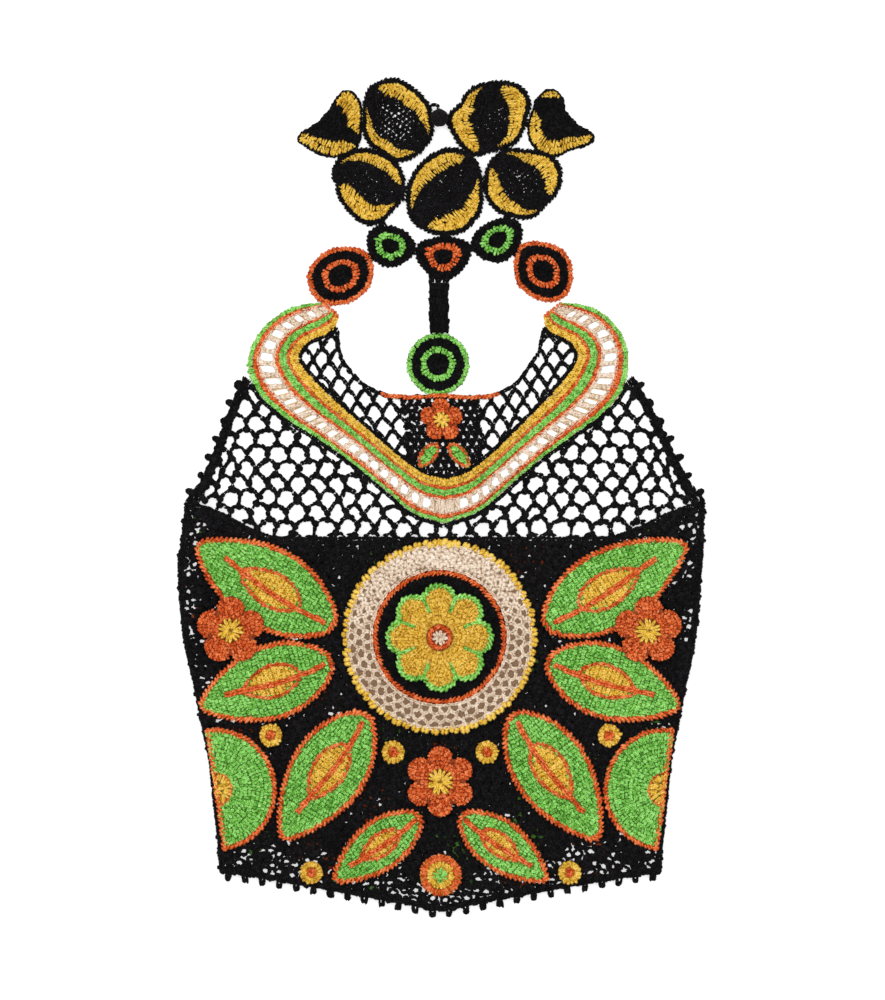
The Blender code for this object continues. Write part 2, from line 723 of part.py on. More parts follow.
def strap():
    """The short flat strap between the neck disc and the collar."""
    top, foot = Vector(STRAP_TOP), Vector(STRAP_FOOT)
    shape = bmesh.new()
    bmesh.ops.create_cube(shape, size=1.0)
    bmesh.ops.scale(shape, verts=shape.verts, vec=(STRAP_WIDTH, (top - foot).length, DISC_THICK))
    bmesh.ops.bevel(shape, geom=shape.edges[:], offset=0.5 * MM, segments=1, profile=0.5,
                    affect="EDGES")
    lean = math.atan2(foot.x - top.x, top.y - foot.y)
    middle = (top + foot) / 2
    bmesh.ops.rotate(shape, verts=shape.verts, matrix=Matrix.Rotation(lean, 3, "Z"))
    bmesh.ops.translate(shape, verts=shape.verts, vec=(middle.x, middle.y, DISC_THICK / 2))
    return finish(shape, "strap", BLACK, on_table, table_place)


def cupped_petal(name, x, y, rim_near, rim_far, reaches):
    """A petal whose middle lies on the table and whose rim lifts, most on its far side."""
    shape = spun_sheet((0.0, PETAL_FLAT, 0.62, 0.82, 1.0), 24)
    for vert in shape.verts:
        ring = vert.co.xy.length
        toward = vert.co.y / max(ring, 1e-9)
        rim = rim_near + (rim_far - rim_near) * (0.5 + 0.5 * toward)
        vert.co.z = rim * ease((ring - PETAL_FLAT) / (1.0 - PETAL_FLAT))
    thicken(shape, lambda co: WALL)
    reach_out(shape, reaches, x, y)
    return finish(shape, name, YELLOW, on_table, table_place)


def folded_petal(name, x, y, reaches):
    """A petal folded in half at the side of the collar: its two layers as one rounded solid."""
    shape = spun_sheet((0.0, 0.5, 0.82, 1.0), 24)
    thicken(shape, lambda co: FOLDED_THICK * (1.0 - FOLDED_FALL * co.xy.length ** 3))
    reach_out(shape, reaches, x, y)
    return finish(shape, name, YELLOW, on_table, table_place)


def button_ball():
    shape = bmesh.new()
    bmesh.ops.create_uvsphere(shape, u_segments=14, v_segments=8, radius=BALL_RADIUS)
    bmesh.ops.translate(shape, verts=shape.verts, vec=BALL_MIDDLE)
    return finish(shape, "button_ball", BLACK, on_table, table_place)


def collar():
    colors = {"neck_disc": GREEN, "collar_disc_center": BLACK, "collar_disc_small_left": BLACK,
              "collar_disc_small_right": BLACK, "collar_disc_large_left": ORANGE,
              "collar_disc_large_right": ORANGE}
    for row in DISCS:
        disc(*row, colors[row[0]])
    strap()
    for row in PETALS:
        cupped_petal(*row)
    for row in FOLDED:
        folded_petal(*row)
    button_ball()


# ---------------------------------------------------------------- the garment

for old in list(bpy.data.objects):
    bpy.data.objects.remove(old)
garment = bpy.data.collections.new("crochet_halter_top")
bpy.context.scene.collection.children.link(garment)

back_panel()
front_ground()
net_gap_count = front_nets()
band_gap_count = yoke_band()
loop_gap_count = neck_net()
roundel()
leaves()
side_fan("side_fan_left", -1.0)
side_fan("side_fan_right", 1.0)
flowers_and_rosettes()
collar()
print("gaps cut through:", net_gap_count, band_gap_count, loop_gap_count)
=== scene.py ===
# %% [markdown]
# # A crochet halter top, laid flat
# The frame is the measured garment: every panel, motif and collar piece as a plain solid.  This lesson
# dresses it with yarn.  Crochet is thousands of nearly equal stitches, so the plan is to model four
# stitches with care and lay copies of them along the rows in which the real ones were worked.

# %% The frame
import math

import bmesh
import bpy
import numpy as np
from mathutils import Matrix, Vector


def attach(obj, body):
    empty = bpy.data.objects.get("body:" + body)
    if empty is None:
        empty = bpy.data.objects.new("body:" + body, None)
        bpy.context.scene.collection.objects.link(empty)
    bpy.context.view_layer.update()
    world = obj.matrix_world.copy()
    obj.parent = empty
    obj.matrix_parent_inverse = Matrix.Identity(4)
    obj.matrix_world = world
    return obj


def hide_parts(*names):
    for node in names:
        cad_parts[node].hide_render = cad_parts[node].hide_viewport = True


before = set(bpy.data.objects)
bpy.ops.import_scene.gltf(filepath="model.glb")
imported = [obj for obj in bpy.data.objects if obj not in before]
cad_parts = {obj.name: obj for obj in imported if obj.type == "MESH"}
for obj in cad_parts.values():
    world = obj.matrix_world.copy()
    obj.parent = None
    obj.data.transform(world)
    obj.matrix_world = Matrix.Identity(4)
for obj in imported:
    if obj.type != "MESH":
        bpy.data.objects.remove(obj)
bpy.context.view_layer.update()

MM = 0.001


def finished(name, shape):
    """The shape as an object in the scene."""
    mesh = bpy.data.meshes.new(name)
    shape.to_mesh(mesh)
    shape.free()
    made = bpy.data.objects.new(name, mesh)
    bpy.context.scene.collection.objects.link(made)
    return made


print("nodes in the frame:", len(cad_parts))

# %% [markdown]
# ## Camera, table and light
# A garment laid flat is seen from straight above.  A long lens far away keeps the outline square, and
# broad soft lamps leave the yarn its own shadows without a hard one on the table.

# %% Camera
CAMERA_SPOT, CAMERA_LENS, CAMERA_SENSOR = (0.0006, -0.0012, 1.7708), 85.0, 36.0

camera_data = bpy.data.cameras.new("camera")
camera_data.lens = CAMERA_LENS
camera_data.sensor_fit = "VERTICAL"
camera_data.sensor_height = CAMERA_SENSOR
camera = bpy.data.objects.new("camera", camera_data)
camera.location = CAMERA_SPOT
bpy.context.scene.collection.objects.link(camera)
bpy.context.scene.camera = camera
print("the camera looks down from", round(camera.location.z, 3), "m")

# %% Table and lamps
FLOOR_HALF, FLOOR_DROP = 3.0, 0.4 * MM
LAMPS = (
    # spot                  size  watts
    ((0.0, 0.35, 1.9), 1.6, 15.0),
    ((-1.2, 0.9, 1.3), 0.9, 9.0),
    ((1.3, -0.6, 1.5), 0.9, 5.0),
)
SKY, TABLE_GLOW, TABLE_GRAY, TABLE_ROUGHNESS = 0.62, 0.55, 0.60, 0.9
WHITE = (1.0, 1.0, 1.0, 1.0)

floor_shape = bmesh.new()
bmesh.ops.create_grid(floor_shape, x_segments=1, y_segments=1, size=FLOOR_HALF)
bmesh.ops.translate(floor_shape, verts=floor_shape.verts, vec=(0.0, 0.0, -FLOOR_DROP))
table = finished("table", floor_shape)

for number, (spot, size, watts) in enumerate(LAMPS):
    lamp_data = bpy.data.lights.new(f"lamp_{number}", "AREA")
    lamp_data.size = size
    lamp_data.energy = watts
    lamp = bpy.data.objects.new(f"lamp_{number}", lamp_data)
    lamp.location = spot
    lamp.rotation_euler = Vector(spot).to_track_quat("Z", "Y").to_euler()
    bpy.context.scene.collection.objects.link(lamp)

world = bpy.data.worlds.new("studio")
world.use_nodes = True
sky = world.node_tree.nodes["Background"]
sky.inputs["Color"].default_value = WHITE
sky.inputs["Strength"].default_value = SKY
bpy.context.scene.world = world
bpy.context.scene.view_settings.view_transform = "Standard"
print("lamps:", len(LAMPS))

# %% [markdown]
# ## Yarn
# The yarn is matt mercerised cotton in five colours.  Up close it is never one colour: each stitch turns
# its own way to the light, the ends tuck into shadow and fibres stand off the surface.  The colour is
# read off a ramp, which is easier to tune than sums of colours.  Its place on the ramp comes from two
# numbers that the stitches carry, a painted shade at the tucked ends and undersides of the strands and
# a `shade` for each stitch, and from two noises in Object coordinates, one as fine as a fibre and one as
# wide as a hand.  A third noise gives the bump.

# %% A small language for materials
class Value:
    """A socket that joins in arithmetic: every operation adds a Math node."""

    def __init__(self, recipe, socket):
        self.recipe = recipe
        self.socket = socket

    def math(self, operation, first, second):
        return self.recipe.put("ShaderNodeMath", {"operation": operation}, {0: first, 1: second})

    def __add__(self, other):
        return self.math("ADD", self, other)

    def __sub__(self, other):
        return self.math("SUBTRACT", self, other)

    def __mul__(self, other):
        return self.math("MULTIPLY", self, other)

    __radd__ = __add__


class Recipe:
    """One material, built node by node."""

    def __init__(self, name):
        self.material = bpy.data.materials.new(name)
        self.material.use_nodes = True
        self.shader = self.material.node_tree.nodes["Principled BSDF"]

    def put(self, kind, settings=None, sockets=None, out=0):
        """A node of this type, its settings first and then its sockets; returns one output."""
        node = self.material.node_tree.nodes.new(kind)
        for key, value in (settings or {}).items():
            if key == "stops":
                self.set_stops(node.color_ramp.elements, value)
            else:
                setattr(node, key, value)
        for key, value in (sockets or {}).items():
            self.feed(node.inputs[key], value)
        return Value(self, node.outputs[out])

    def set_stops(self, elements, stops):
        while len(elements) < len(stops):
            elements.new(0.5)
        for element, (position, color) in zip(elements, stops):
            element.position = position
            element.color = (*color, 1.0)

    def feed(self, socket, value):
        if isinstance(value, Value):
            self.material.node_tree.links.new(value.socket, socket)
        else:
            socket.default_value = value


print("the recipes are ready")

# %% The five cottons
FIBRE_SCALE, LOT_SCALE, BUMP_SCALE = 700.0, 16.0, 1500.0
FIBRE_SHARE, LOT_SHARE, SHADE_SHARE, TUCK_SHADE_SHARE = 2.10, 0.26, 0.20, 0.55
MIDDLE, BUMP_STRENGTH, BUMP_DEPTH = 0.68, 0.55, 0.25 * MM
COTTON_ROUGHNESS, ROUGH_SHARE, SHEEN_ROUGHNESS = 0.85, 0.2, 0.45

BLACK, GREEN, ORANGE, YELLOW, CREAM = ("black_cotton", "green_cotton", "orange_cotton", "yellow_cotton",
                                       "cream_cotton")
COLORS = {
    # slot   in painted shade        the yarn itself         where it catches light   sheen, gloss
    BLACK: ((0.0010, 0.0008, 0.0008), (0.0036, 0.0030, 0.0032), (0.012, 0.011, 0.013), 0.02, 0.07),
    GREEN: ((0.028, 0.160, 0.005), (0.210, 0.580, 0.082), (0.450, 0.860, 0.270), 0.05, 0.12),
    ORANGE: ((0.260, 0.014, 0.001), (0.690, 0.100, 0.010), (0.950, 0.330, 0.120), 0.05, 0.12),
    YELLOW: ((0.340, 0.140, 0.003), (0.790, 0.490, 0.040), (0.960, 0.710, 0.180), 0.05, 0.15),
    CREAM: ((0.330, 0.220, 0.140), (0.740, 0.580, 0.430), (0.930, 0.820, 0.700), 0.06, 0.20),
}
CORE_SHADES = {BLACK: (0.5, 0.5, 0.5), GREEN: (0.24, 0.28, 0.20), ORANGE: (0.30, 0.22, 0.20),
               YELLOW: (0.70, 0.52, 0.40), CREAM: (0.26, 0.19, 0.14)}


def cotton(slot, shades=None):
    """The yarn of a slot; with shades, the cloth that lies in shadow between its stitches."""
    deep, yarn_color, bright, sheen, gloss = COLORS[slot]
    yarn = Recipe(slot + "_core" if shades else slot)
    red, green, blue = shades or (1.0, 1.0, 1.0)
    spot = yarn.put("ShaderNodeTexCoord", out="Object")
    tuck = yarn.put("ShaderNodeAttribute", {"attribute_name": "tuck"}, out="Fac")
    shade = yarn.put("ShaderNodeAttribute", {"attribute_name": "shade"}, out="Fac")
    fibre = yarn.put("ShaderNodeTexNoise", None, {"Vector": spot, "Scale": FIBRE_SCALE, "Detail": 2.0})
    lot = yarn.put("ShaderNodeTexNoise", None, {"Vector": spot, "Scale": LOT_SCALE, "Detail": 1.0})
    level = MIDDLE + (fibre - 0.5) * FIBRE_SHARE + (lot - 0.5) * LOT_SHARE
    # Painted shade: the tucked ends and undersides of the strands darken towards the deep colour.
    level = level + shade * SHADE_SHARE - tuck * TUCK_SHADE_SHARE
    stops = [(place, (color[0] * red, color[1] * green, color[2] * blue)) for place, color in
             ((0.0, deep), (0.5, yarn_color), (1.0, bright))]
    color = yarn.put("ShaderNodeValToRGB", {"stops": stops}, {"Fac": level})
    fuzz = yarn.put("ShaderNodeTexNoise", None, {"Vector": spot, "Scale": BUMP_SCALE, "Detail": 3.0})
    bump = yarn.put("ShaderNodeBump", None,
                    {"Height": fuzz, "Strength": BUMP_STRENGTH, "Distance": BUMP_DEPTH})
    yarn.feed(yarn.shader.inputs["Base Color"], color)
    yarn.feed(yarn.shader.inputs["Roughness"], COTTON_ROUGHNESS + (fibre - 0.5) * ROUGH_SHARE)
    yarn.feed(yarn.shader.inputs["Normal"], bump)
    yarn.feed(yarn.shader.inputs["Sheen Weight"], sheen)
    yarn.feed(yarn.shader.inputs["Sheen Roughness"], SHEEN_ROUGHNESS)
    yarn.feed(yarn.shader.inputs["Specular IOR Level"], gloss)
    return yarn.material


cottons = {slot: cotton(slot) for slot in COLORS}
# Painted shade: every cotton darkened by its core shades, for the cloth that lies in shadow between the
# stitches.
shade_cores = {slot: cotton(slot, CORE_SHADES[slot]) for slot in COLORS}

tabletop = Recipe("pale_table")
tabletop.feed(tabletop.shader.inputs["Base Color"], (TABLE_GRAY, TABLE_GRAY, TABLE_GRAY, 1.0))
tabletop.feed(tabletop.shader.inputs["Roughness"], TABLE_ROUGHNESS)
tabletop.feed(tabletop.shader.inputs["Emission Color"], WHITE)
tabletop.feed(tabletop.shader.inputs["Emission Strength"], TABLE_GLOW)
table.data.materials.append(tabletop.material)
print("cottons:", ", ".join(cottons))

# %% [markdown]
# ## Stitches
# A strand of yarn in a stitch is a short spindle: it comes out of one hole, bulges, and goes back into
# the next.  A worked stitch, the post, shows two legs that spread towards a head lying across them; a
# chain stitch shows the two strands alone.  Each is one unit long, wide and thick, so that a place can
# stretch it to any size, and it keeps only a few dozen faces because thousands are laid.  Painted shade
# is set here, once, as a number on every corner: it is high at the ends of a strand, where it tucks into
# the cloth, and underneath it, and the material darkens the colour by it.

# %% Strands and stitches
TUCK_SHADE_FROM, TUCK_SHADE_RUN, TUCK_SHADE_POWER, UNDER_SHADE_FROM, UNDER_SHADE_RUN = 0.35, 0.65, 1.5, 0.15, 0.5


def strand(shape, sides, bands, width, thick, turn=0.0, shift=0.0, ahead=0.0, up=0.0):
    """A spindle of yarn, one unit long, along Y before its turn, with painted shade at its tucked-in ends
    and underneath.
    """
    tuck = shape.verts.layers.float["tuck"]
    verts = bmesh.ops.create_uvsphere(shape, u_segments=sides, v_segments=bands, radius=0.5)["verts"]
    bmesh.ops.rotate(shape, verts=verts, matrix=Matrix.Rotation(math.pi / 2, 3, "X"))
    bmesh.ops.scale(shape, verts=verts, vec=(width, 1.0, thick))
    for vert in verts:
        # Painted shade: the number rises towards both ends of the strand and towards its underside.
        end = max(abs(vert.co.y) * 2.0 - TUCK_SHADE_FROM, 0.0) / TUCK_SHADE_RUN
        under = max(UNDER_SHADE_FROM - vert.co.z, 0.0) / UNDER_SHADE_RUN
        vert[tuck] = min(end ** TUCK_SHADE_POWER + under, 1.0)
    bmesh.ops.rotate(shape, verts=verts, matrix=Matrix.Rotation(turn, 3, "Z"))
    bmesh.ops.translate(shape, verts=verts, vec=(shift, ahead, up))


def stitch(name, strands):
    """A stitch object of the strands given."""
    shape = bmesh.new()
    shape.verts.layers.float.new("tuck")
    for row in strands:
        strand(shape, *row)
    for face in shape.faces:
        face.smooth = True
    mesh = bpy.data.meshes.new(name)
    shape.to_mesh(mesh)
    shape.free()
    return bpy.data.objects.new(name, mesh)


# sides, bands, width, thickness, then as needed turn, sideways, ahead and up
LEGS = ((4, 3, 0.52, 0.9, 0.17, -0.20), (4, 3, 0.52, 0.9, -0.17, 0.20))
HEAD = (4, 2, 0.36, 0.7, math.pi / 2 - 0.25, 0.0, 0.30, 0.20)
post = stitch("post", (*LEGS, HEAD))
chain = stitch("chain", ((4, 3, 0.56, 1.0, 0.16, -0.22), (4, 3, 0.56, 1.0, -0.16, 0.22)))
link = stitch("link", ((4, 3, 1.0, 1.0),))
bobble = stitch("bobble", ((7, 4, 1.0, 1.0),))
for sample in (post, chain, link, bobble):
    print(sample.name, "has", len(sample.data.polygons), "faces")

# %% [markdown]
# ## Laying stitches
# A list of marks says where stitches go: middle, direction, length, width, thickness and how far above
# the cloth's underside.  Geometry Nodes puts a copy of the stitch on every mark and makes them one mesh.
# The marks are on the symmetric cut of the garment.  `drift` then moves each one sideways, as the soft
# cloth lies on the table, and a `rise` function lifts it by whatever lies below.

# %% The cut, as it lies on the table
CENTER_X, CENTER_Y = 3.25 * MM, 0.27 * MM
DRIFT_Y = (-0.320, -0.060, 0.000, 0.040, 0.100, 0.147)
DRIFT_X = (-0.0040, -0.0050, -0.0005, -0.0020, -0.0062, -0.0028)
WALL, MOTIF_WALL, SEAM = 2.0 * MM, 2.2 * MM, 0.3 * MM
LAYER_LIFT, RAMP = WALL + SEAM, 18.0 * MM
BACK_TOP_MID, BACK_TOP_SIDE, BACK_TOP_FLAT, BACK_TOP_RISE = -0.032, -0.006, 0.120, 0.073
GROUND_OVERLAP = 0.002


def drift(x, y):
    """Cut to table, for the body, yoke and neck."""
    return x + np.interp(y, DRIFT_Y, DRIFT_X) + CENTER_X, y + CENTER_Y


def straight(x, y):
    """Cut to table, for the collar."""
    return x + CENTER_X, y + CENTER_Y


def ease(t):
    t = np.clip(t, 0.0, 1.0)
    return t * t * (3.0 - 2.0 * t)


def back_top(x):
    share = ease((np.abs(x) - BACK_TOP_FLAT) / BACK_TOP_RISE)
    return BACK_TOP_MID + (BACK_TOP_SIDE - BACK_TOP_MID) * share


def ground_top(x):
    return back_top(x) + GROUND_OVERLAP


def settle(x, y):
    """Height of the front's underside: over the back it lies on it, above that on the table."""
    return LAYER_LIFT * np.clip(1.0 - (y - ground_top(x)) / RAMP, 0.0, 1.0)


def on_ground(*between):
    """Underside of a motif on the front, with the walls named between the two."""
    lift = WALL + SEAM + sum(wall + SEAM for wall in between)
    return lambda x, y: settle(x, y) + lift


def on_table(x, y):
    return np.zeros_like(np.asarray(x, float))


print("the front lies", LAYER_LIFT / MM, "mm above the table where the back is under it")

# %% Copies of a stitch on marks
def stored(tree, name):
    """The vector of this name that every point carries."""
    node = tree.nodes.new("GeometryNodeInputNamedAttribute")
    node.data_type = "FLOAT_VECTOR"
    node.inputs["Name"].default_value = name
    return node.outputs["Attribute"]


def laying_tree(sample):
    """The node tree that puts the sample on every point and joins the copies."""
    tree = bpy.data.node_groups.new("lay_" + sample.name, "GeometryNodeTree")
    tree.interface.new_socket("Geometry", in_out="INPUT", socket_type="NodeSocketGeometry")
    tree.interface.new_socket("Geometry", in_out="OUTPUT", socket_type="NodeSocketGeometry")
    points = tree.nodes.new("NodeGroupInput")
    result = tree.nodes.new("NodeGroupOutput")
    source = tree.nodes.new("GeometryNodeObjectInfo")
    source.inputs["Object"].default_value = sample
    copies = tree.nodes.new("GeometryNodeInstanceOnPoints")
    joined = tree.nodes.new("GeometryNodeRealizeInstances")
    rotation = tree.nodes.new("FunctionNodeEulerToRotation")
    tree.links.new(points.outputs[0], copies.inputs["Points"])
    tree.links.new(source.outputs["Geometry"], copies.inputs["Instance"])
    tree.links.new(stored(tree, "turn"), rotation.inputs["Euler"])
    tree.links.new(rotation.outputs["Rotation"], copies.inputs["Rotation"])
    tree.links.new(stored(tree, "size"), copies.inputs["Scale"])
    tree.links.new(copies.outputs["Instances"], joined.inputs["Geometry"])
    tree.links.new(joined.outputs["Geometry"], result.inputs[0])
    return tree


trees = {sample.name: laying_tree(sample) for sample in (post, chain, link, bobble)}
SLOPE_STEP = 0.1 * MM
SHAKE_SPOT, SHAKE_TURN, SHAKE_SIZE = 0.22 * MM, 0.14, 0.12
chance = np.random.default_rng(7)
pieces = {}


def unit(rows):
    return rows / np.linalg.norm(rows, axis=1, keepdims=True)


def by_hand(marks):
    """No two stitches of handwork are quite equal."""
    marks = np.array(marks, float)
    count = len(marks)
    marks[:, :2] += chance.normal(0.0, SHAKE_SPOT, (count, 2))
    marks[:, 2] += chance.normal(0.0, SHAKE_TURN, count)
    marks[:, 3:6] *= 1.0 + chance.normal(0.0, SHAKE_SIZE, (count, 3))
    return marks


def lay(name, sample, marks, slot, rise, place=drift, node=None):
    """One piece of stitches: marks are rows of x, y, angle, length, width, thickness, lift."""
    x, y, angle, length, width, thick, lift = by_hand(marks).T
    low = rise(x, y)
    slope_x = (rise(x + SLOPE_STEP, y) - low) / SLOPE_STEP
    slope_y = (rise(x, y + SLOPE_STEP) - low) / SLOPE_STEP
    cosine, sine = np.cos(angle), np.sin(angle)
    along = unit(np.column_stack([cosine, sine, slope_x * cosine + slope_y * sine]))
    up = unit(np.column_stack([-slope_x, -slope_y, np.ones_like(x)]))
    side = np.cross(along, up)
    turn = np.column_stack([np.arctan2(along[:, 2], up[:, 2]), np.arcsin(np.clip(-side[:, 2], -1, 1)),
                            np.arctan2(side[:, 1], side[:, 0])])
    table_x, table_y = place(x, y)
    mesh = bpy.data.meshes.new(name)
    mesh.from_pydata(np.column_stack([table_x, table_y, low + lift]).tolist(), [], [])
    for title, kind, key, values in (
            ("turn", "FLOAT_VECTOR", "vector", turn),
            ("size", "FLOAT_VECTOR", "vector", np.column_stack([width, length, thick])),
            ("shade", "FLOAT", "value", chance.uniform(-1.0, 1.0, len(x)))):
        mesh.attributes.new(title, kind, "POINT").data.foreach_set(key, np.ravel(values))
    piece = bpy.data.objects.new(name, mesh)
    bpy.context.scene.collection.objects.link(piece)
    modifier = piece.modifiers.new("lay", "NODES")
    modifier.node_group = trees[sample.name]
    seen = piece.evaluated_get(bpy.context.evaluated_depsgraph_get())
    piece.data = bpy.data.meshes.new_from_object(seen)
    piece.modifiers.clear()
    bpy.data.meshes.remove(mesh)
    for title in ("turn", "size"):
        if title in piece.data.attributes:
            piece.data.attributes.remove(piece.data.attributes[title])
    return dress(piece, cottons[slot], node)


def dress(piece, material, node=None):
    """Gives a finished piece its name on the body, its yarn and the node it stands for."""
    piece.data.materials.clear()
    piece.data.materials.append(material)
    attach(piece, "root")
    if node:
        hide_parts(node)
    pieces[piece.name] = piece
    return piece


print("laying trees:", ", ".join(trees))

# %% [markdown]
# ## Lines and rows
# Crochet is drawn with two gestures: a line of stitches that follow each other, such as an edging, and a
# row of stitches that stand side by side between a foot line and a head line.  Everything on this top is
# one of the two, or a net of lines, so two short functions and a mirror draw it all.

# %% Lines, rows and mirrors
def spaced(line, count):
    """The line as count + 1 points at equal steps."""
    line = np.asarray(line, float)
    steps = np.hypot(*np.diff(line, axis=0).T)
    along = np.concatenate([[0.0], np.cumsum(steps)])
    stops = np.linspace(0.0, along[-1], count + 1)
    return np.column_stack([np.interp(stops, along, line[:, 0]), np.interp(stops, along, line[:, 1])])


def line_length(line):
    return float(np.hypot(*np.diff(np.asarray(line, float), axis=0).T).sum())


def smooth_line(rows, per_span):
    """A Catmull-Rom curve through the rows."""
    points = [np.array(row, float) for row in rows]
    points = [2 * points[0] - points[1]] + points + [2 * points[-1] - points[-2]]
    line = []
    for a, b, c, d in zip(points, points[1:], points[2:], points[3:]):
        for step in range(per_span):
            t = step / per_span
            line.append(0.5 * (2 * b + (c - a) * t + (2 * a - 5 * b + 4 * c - d) * t ** 2
                               + (3 * b - a - 3 * c + d) * t ** 3))
    line.append(points[-2])
    return np.array(line)


def aside(line, distance):
    """The line moved to its left."""
    line = np.asarray(line, float)
    along = np.gradient(line, axis=0)
    along = along / np.linalg.norm(along, axis=1, keepdims=True)
    return line + np.column_stack([-along[:, 1], along[:, 0]]) * distance


def flipped(line):
    """The line on the other side of the garment's middle line."""
    return np.column_stack([-line[:, 0], line[:, 1]])


def whole(line):
    """A right-hand line and its mirror as one, from the right shoulder round to the left."""
    return np.vstack([line, flipped(line)[::-1][1:]])


def along_line(line, pitch, length, width, thick, lift, turn=0.0):
    """Stitches that follow a line, each turned from it by the same angle."""
    count = max(1, round(line_length(line) / pitch))
    points = spaced(line, count)
    middle = (points[:-1] + points[1:]) / 2
    step = np.diff(points, axis=0)
    angle = np.arctan2(step[:, 1], step[:, 0]) + turn
    rest = np.tile([length, width, thick, lift], (count, 1))
    return np.column_stack([middle, angle, rest])


ROW_OVERLAP, ROW_SHORT, SIDE_OVERLAP, ROW_PHASE, TINY = 1.30, 1.12, 1.14, 0.45, 1e-12


def row_between(foot, head, pitch, thick, lift, reach=ROW_OVERLAP):
    """Upright stitches side by side, from the foot line to the head line."""
    foot, head = np.asarray(foot, float), np.asarray(head, float)
    middle_length = (line_length(foot) + line_length(head)) / 2
    count = max(1, round(middle_length / pitch))
    at = 0.5 + chance.uniform(-ROW_PHASE, ROW_PHASE)
    feet, heads = spaced(foot, count), spaced(head, count)
    feet, heads = feet[:-1] * (1 - at) + feet[1:] * at, heads[:-1] * (1 - at) + heads[1:] * at
    tall = heads - feet
    length = np.hypot(tall[:, 0], tall[:, 1]) * reach
    angle = np.arctan2(tall[:, 1], tall[:, 0])
    width = np.full(count, middle_length / count * SIDE_OVERLAP)
    rest = np.tile([thick, lift], (count, 1))
    return np.column_stack([(feet + heads) / 2, angle, length, width, rest])


def mirror(marks):
    """The same marks on the other side of the garment's middle line."""
    marks = np.array(marks, float)
    marks[:, 0] = -marks[:, 0]
    marks[:, 2] = math.pi - marks[:, 2]
    return marks


def same(marks):
    return marks


def both(marks):
    return np.vstack([marks, mirror(marks)])


LEFT_RIGHT = (("left", same), ("right", mirror))


def inside(outline, spots):
    """True for each spot that lies within the outline."""
    a = np.asarray(outline, float)
    b = np.roll(a, -1, axis=0)
    x, y = spots[:, :1], spots[:, 1:2]
    crosses = (a[:, 1] > y) != (b[:, 1] > y)
    run = np.where(np.abs(b[:, 1] - a[:, 1]) < TINY, TINY, b[:, 1] - a[:, 1])
    at = a[:, 0] + (b[:, 0] - a[:, 0]) * (y - a[:, 1]) / run
    return (np.sum(crosses & (x < at), axis=1) % 2) == 1


def clearance(outline, spots):
    """Distance of each spot from the outline."""
    a = np.asarray(outline, float)
    span = np.roll(a, -1, axis=0) - a
    offset = spots[:, None, :2] - a[None]
    t = np.clip((offset * span).sum(2) / np.maximum((span ** 2).sum(1), TINY), 0.0, 1.0)
    return np.linalg.norm(offset - span * t[..., None], axis=2).min(1)


def wobble(a, b, phase):
    """The same small unevenness on every run, between -1 and 1."""
    return math.sin(2.3 * a + 5.1 * b + phase) * math.cos(3.7 * a - 1.9 * b + 2.0 * phase)


print("a test row has", len(row_between([(0, 0), (0.1, 0)], [(0, 0.01), (0.1, 0.01)], 0.003, 0, 0)),
      "stitches")

# %% [markdown]
# ## Cores
# Under the stitches of a closely worked piece lies the cloth in shade, and that shade is painted.  A
# thinned copy of the frame's solid serves as that core, coloured a darker shade of the yarn: it has the
# right outline and gaps, it is a closed sheet, and it is what the part declares as the cut of cloth.

# %% Thin cores from the frame's solids
CORE_SHARE, UPWARD, SAME_SPOT = 0.36, 0.3, 1e-6


def frame_shape(node):
    """A copy of the node's solid, its corners joined."""
    shape = bmesh.new()
    shape.from_mesh(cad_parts[node].data)
    bmesh.ops.remove_doubles(shape, verts=shape.verts, dist=SAME_SPOT)
    return shape


def flat_ring(inner, outer, steps):
    """A flat ring: one spoke, turned all the way round."""
    shape = bmesh.new()
    ends = [shape.verts.new((radius, 0.0, 0.0)) for radius in (inner, outer)]
    spoke = shape.edges.new(ends)
    bmesh.ops.spin(shape, geom=ends + [spoke], cent=(0, 0, 0), axis=(0, 0, 1), angle=2 * math.pi,
                   steps=steps, use_merge=True)
    return shape


def core(node, slot, rise, place_back=True):
    """A closed sheet in the shape of the node, squeezed down onto its underside, in the darker core cotton
    as painted shade.
    """
    shape = frame_shape(node)
    for vert in shape.verts:
        y = vert.co.y - CENTER_Y
        x = vert.co.x - CENTER_X - (np.interp(y, DRIFT_Y, DRIFT_X) if place_back else 0.0)
        low = float(rise(x, y))
        vert.co.z = low + (vert.co.z - low) * CORE_SHARE
    return dress(finished(node + "_core", shape), shade_cores[slot], node)


def top_area(node):
    """Area of the node's upper side, which is the area of its cut."""
    return sum(face.area * face.normal.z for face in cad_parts[node].data.polygons
               if face.normal.z > UPWARD)


print("upper side of the yoke band:", round(top_area("yoke_band") * 1e4, 1), "square centimetres")

# %% [markdown]
# ## The body's outline
# The lower body is a back and a front of nearly the same shape, joined at the sides.  The front reaches
# a little higher.  The hem runs to a shallow point.  These lines are needed by the nets that fill the
# panels.

# %% Outline of the panels
SIDES = ((-0.281, 0.1655), (-0.257, 0.1670), (-0.227, 0.1705), (-0.197, 0.1735), (-0.167, 0.1795),
         (-0.137, 0.1855), (-0.107, 0.1920), (-0.077, 0.1952), (-0.050, 0.1965), (-0.020, 0.1955),
         (-0.002, 0.1945))
HEM_SIDE, HEM_POINT, HEM_POWER, HEM_STEPS = -0.281, -0.310, 1.15, 40
TOP_MARKS = np.array((0.195, 0.182, 0.168, 0.154, 0.140, 0.126, 0.110, 0.0))


def half_width(y):
    return float(np.interp(y, [row[0] for row in SIDES], [row[1] for row in SIDES]))


def hem(x):
    share = np.clip(1.0 - np.abs(x) / SIDES[0][1], 0.0, 1.0)
    return HEM_SIDE + (HEM_POINT - HEM_SIDE) * share ** HEM_POWER


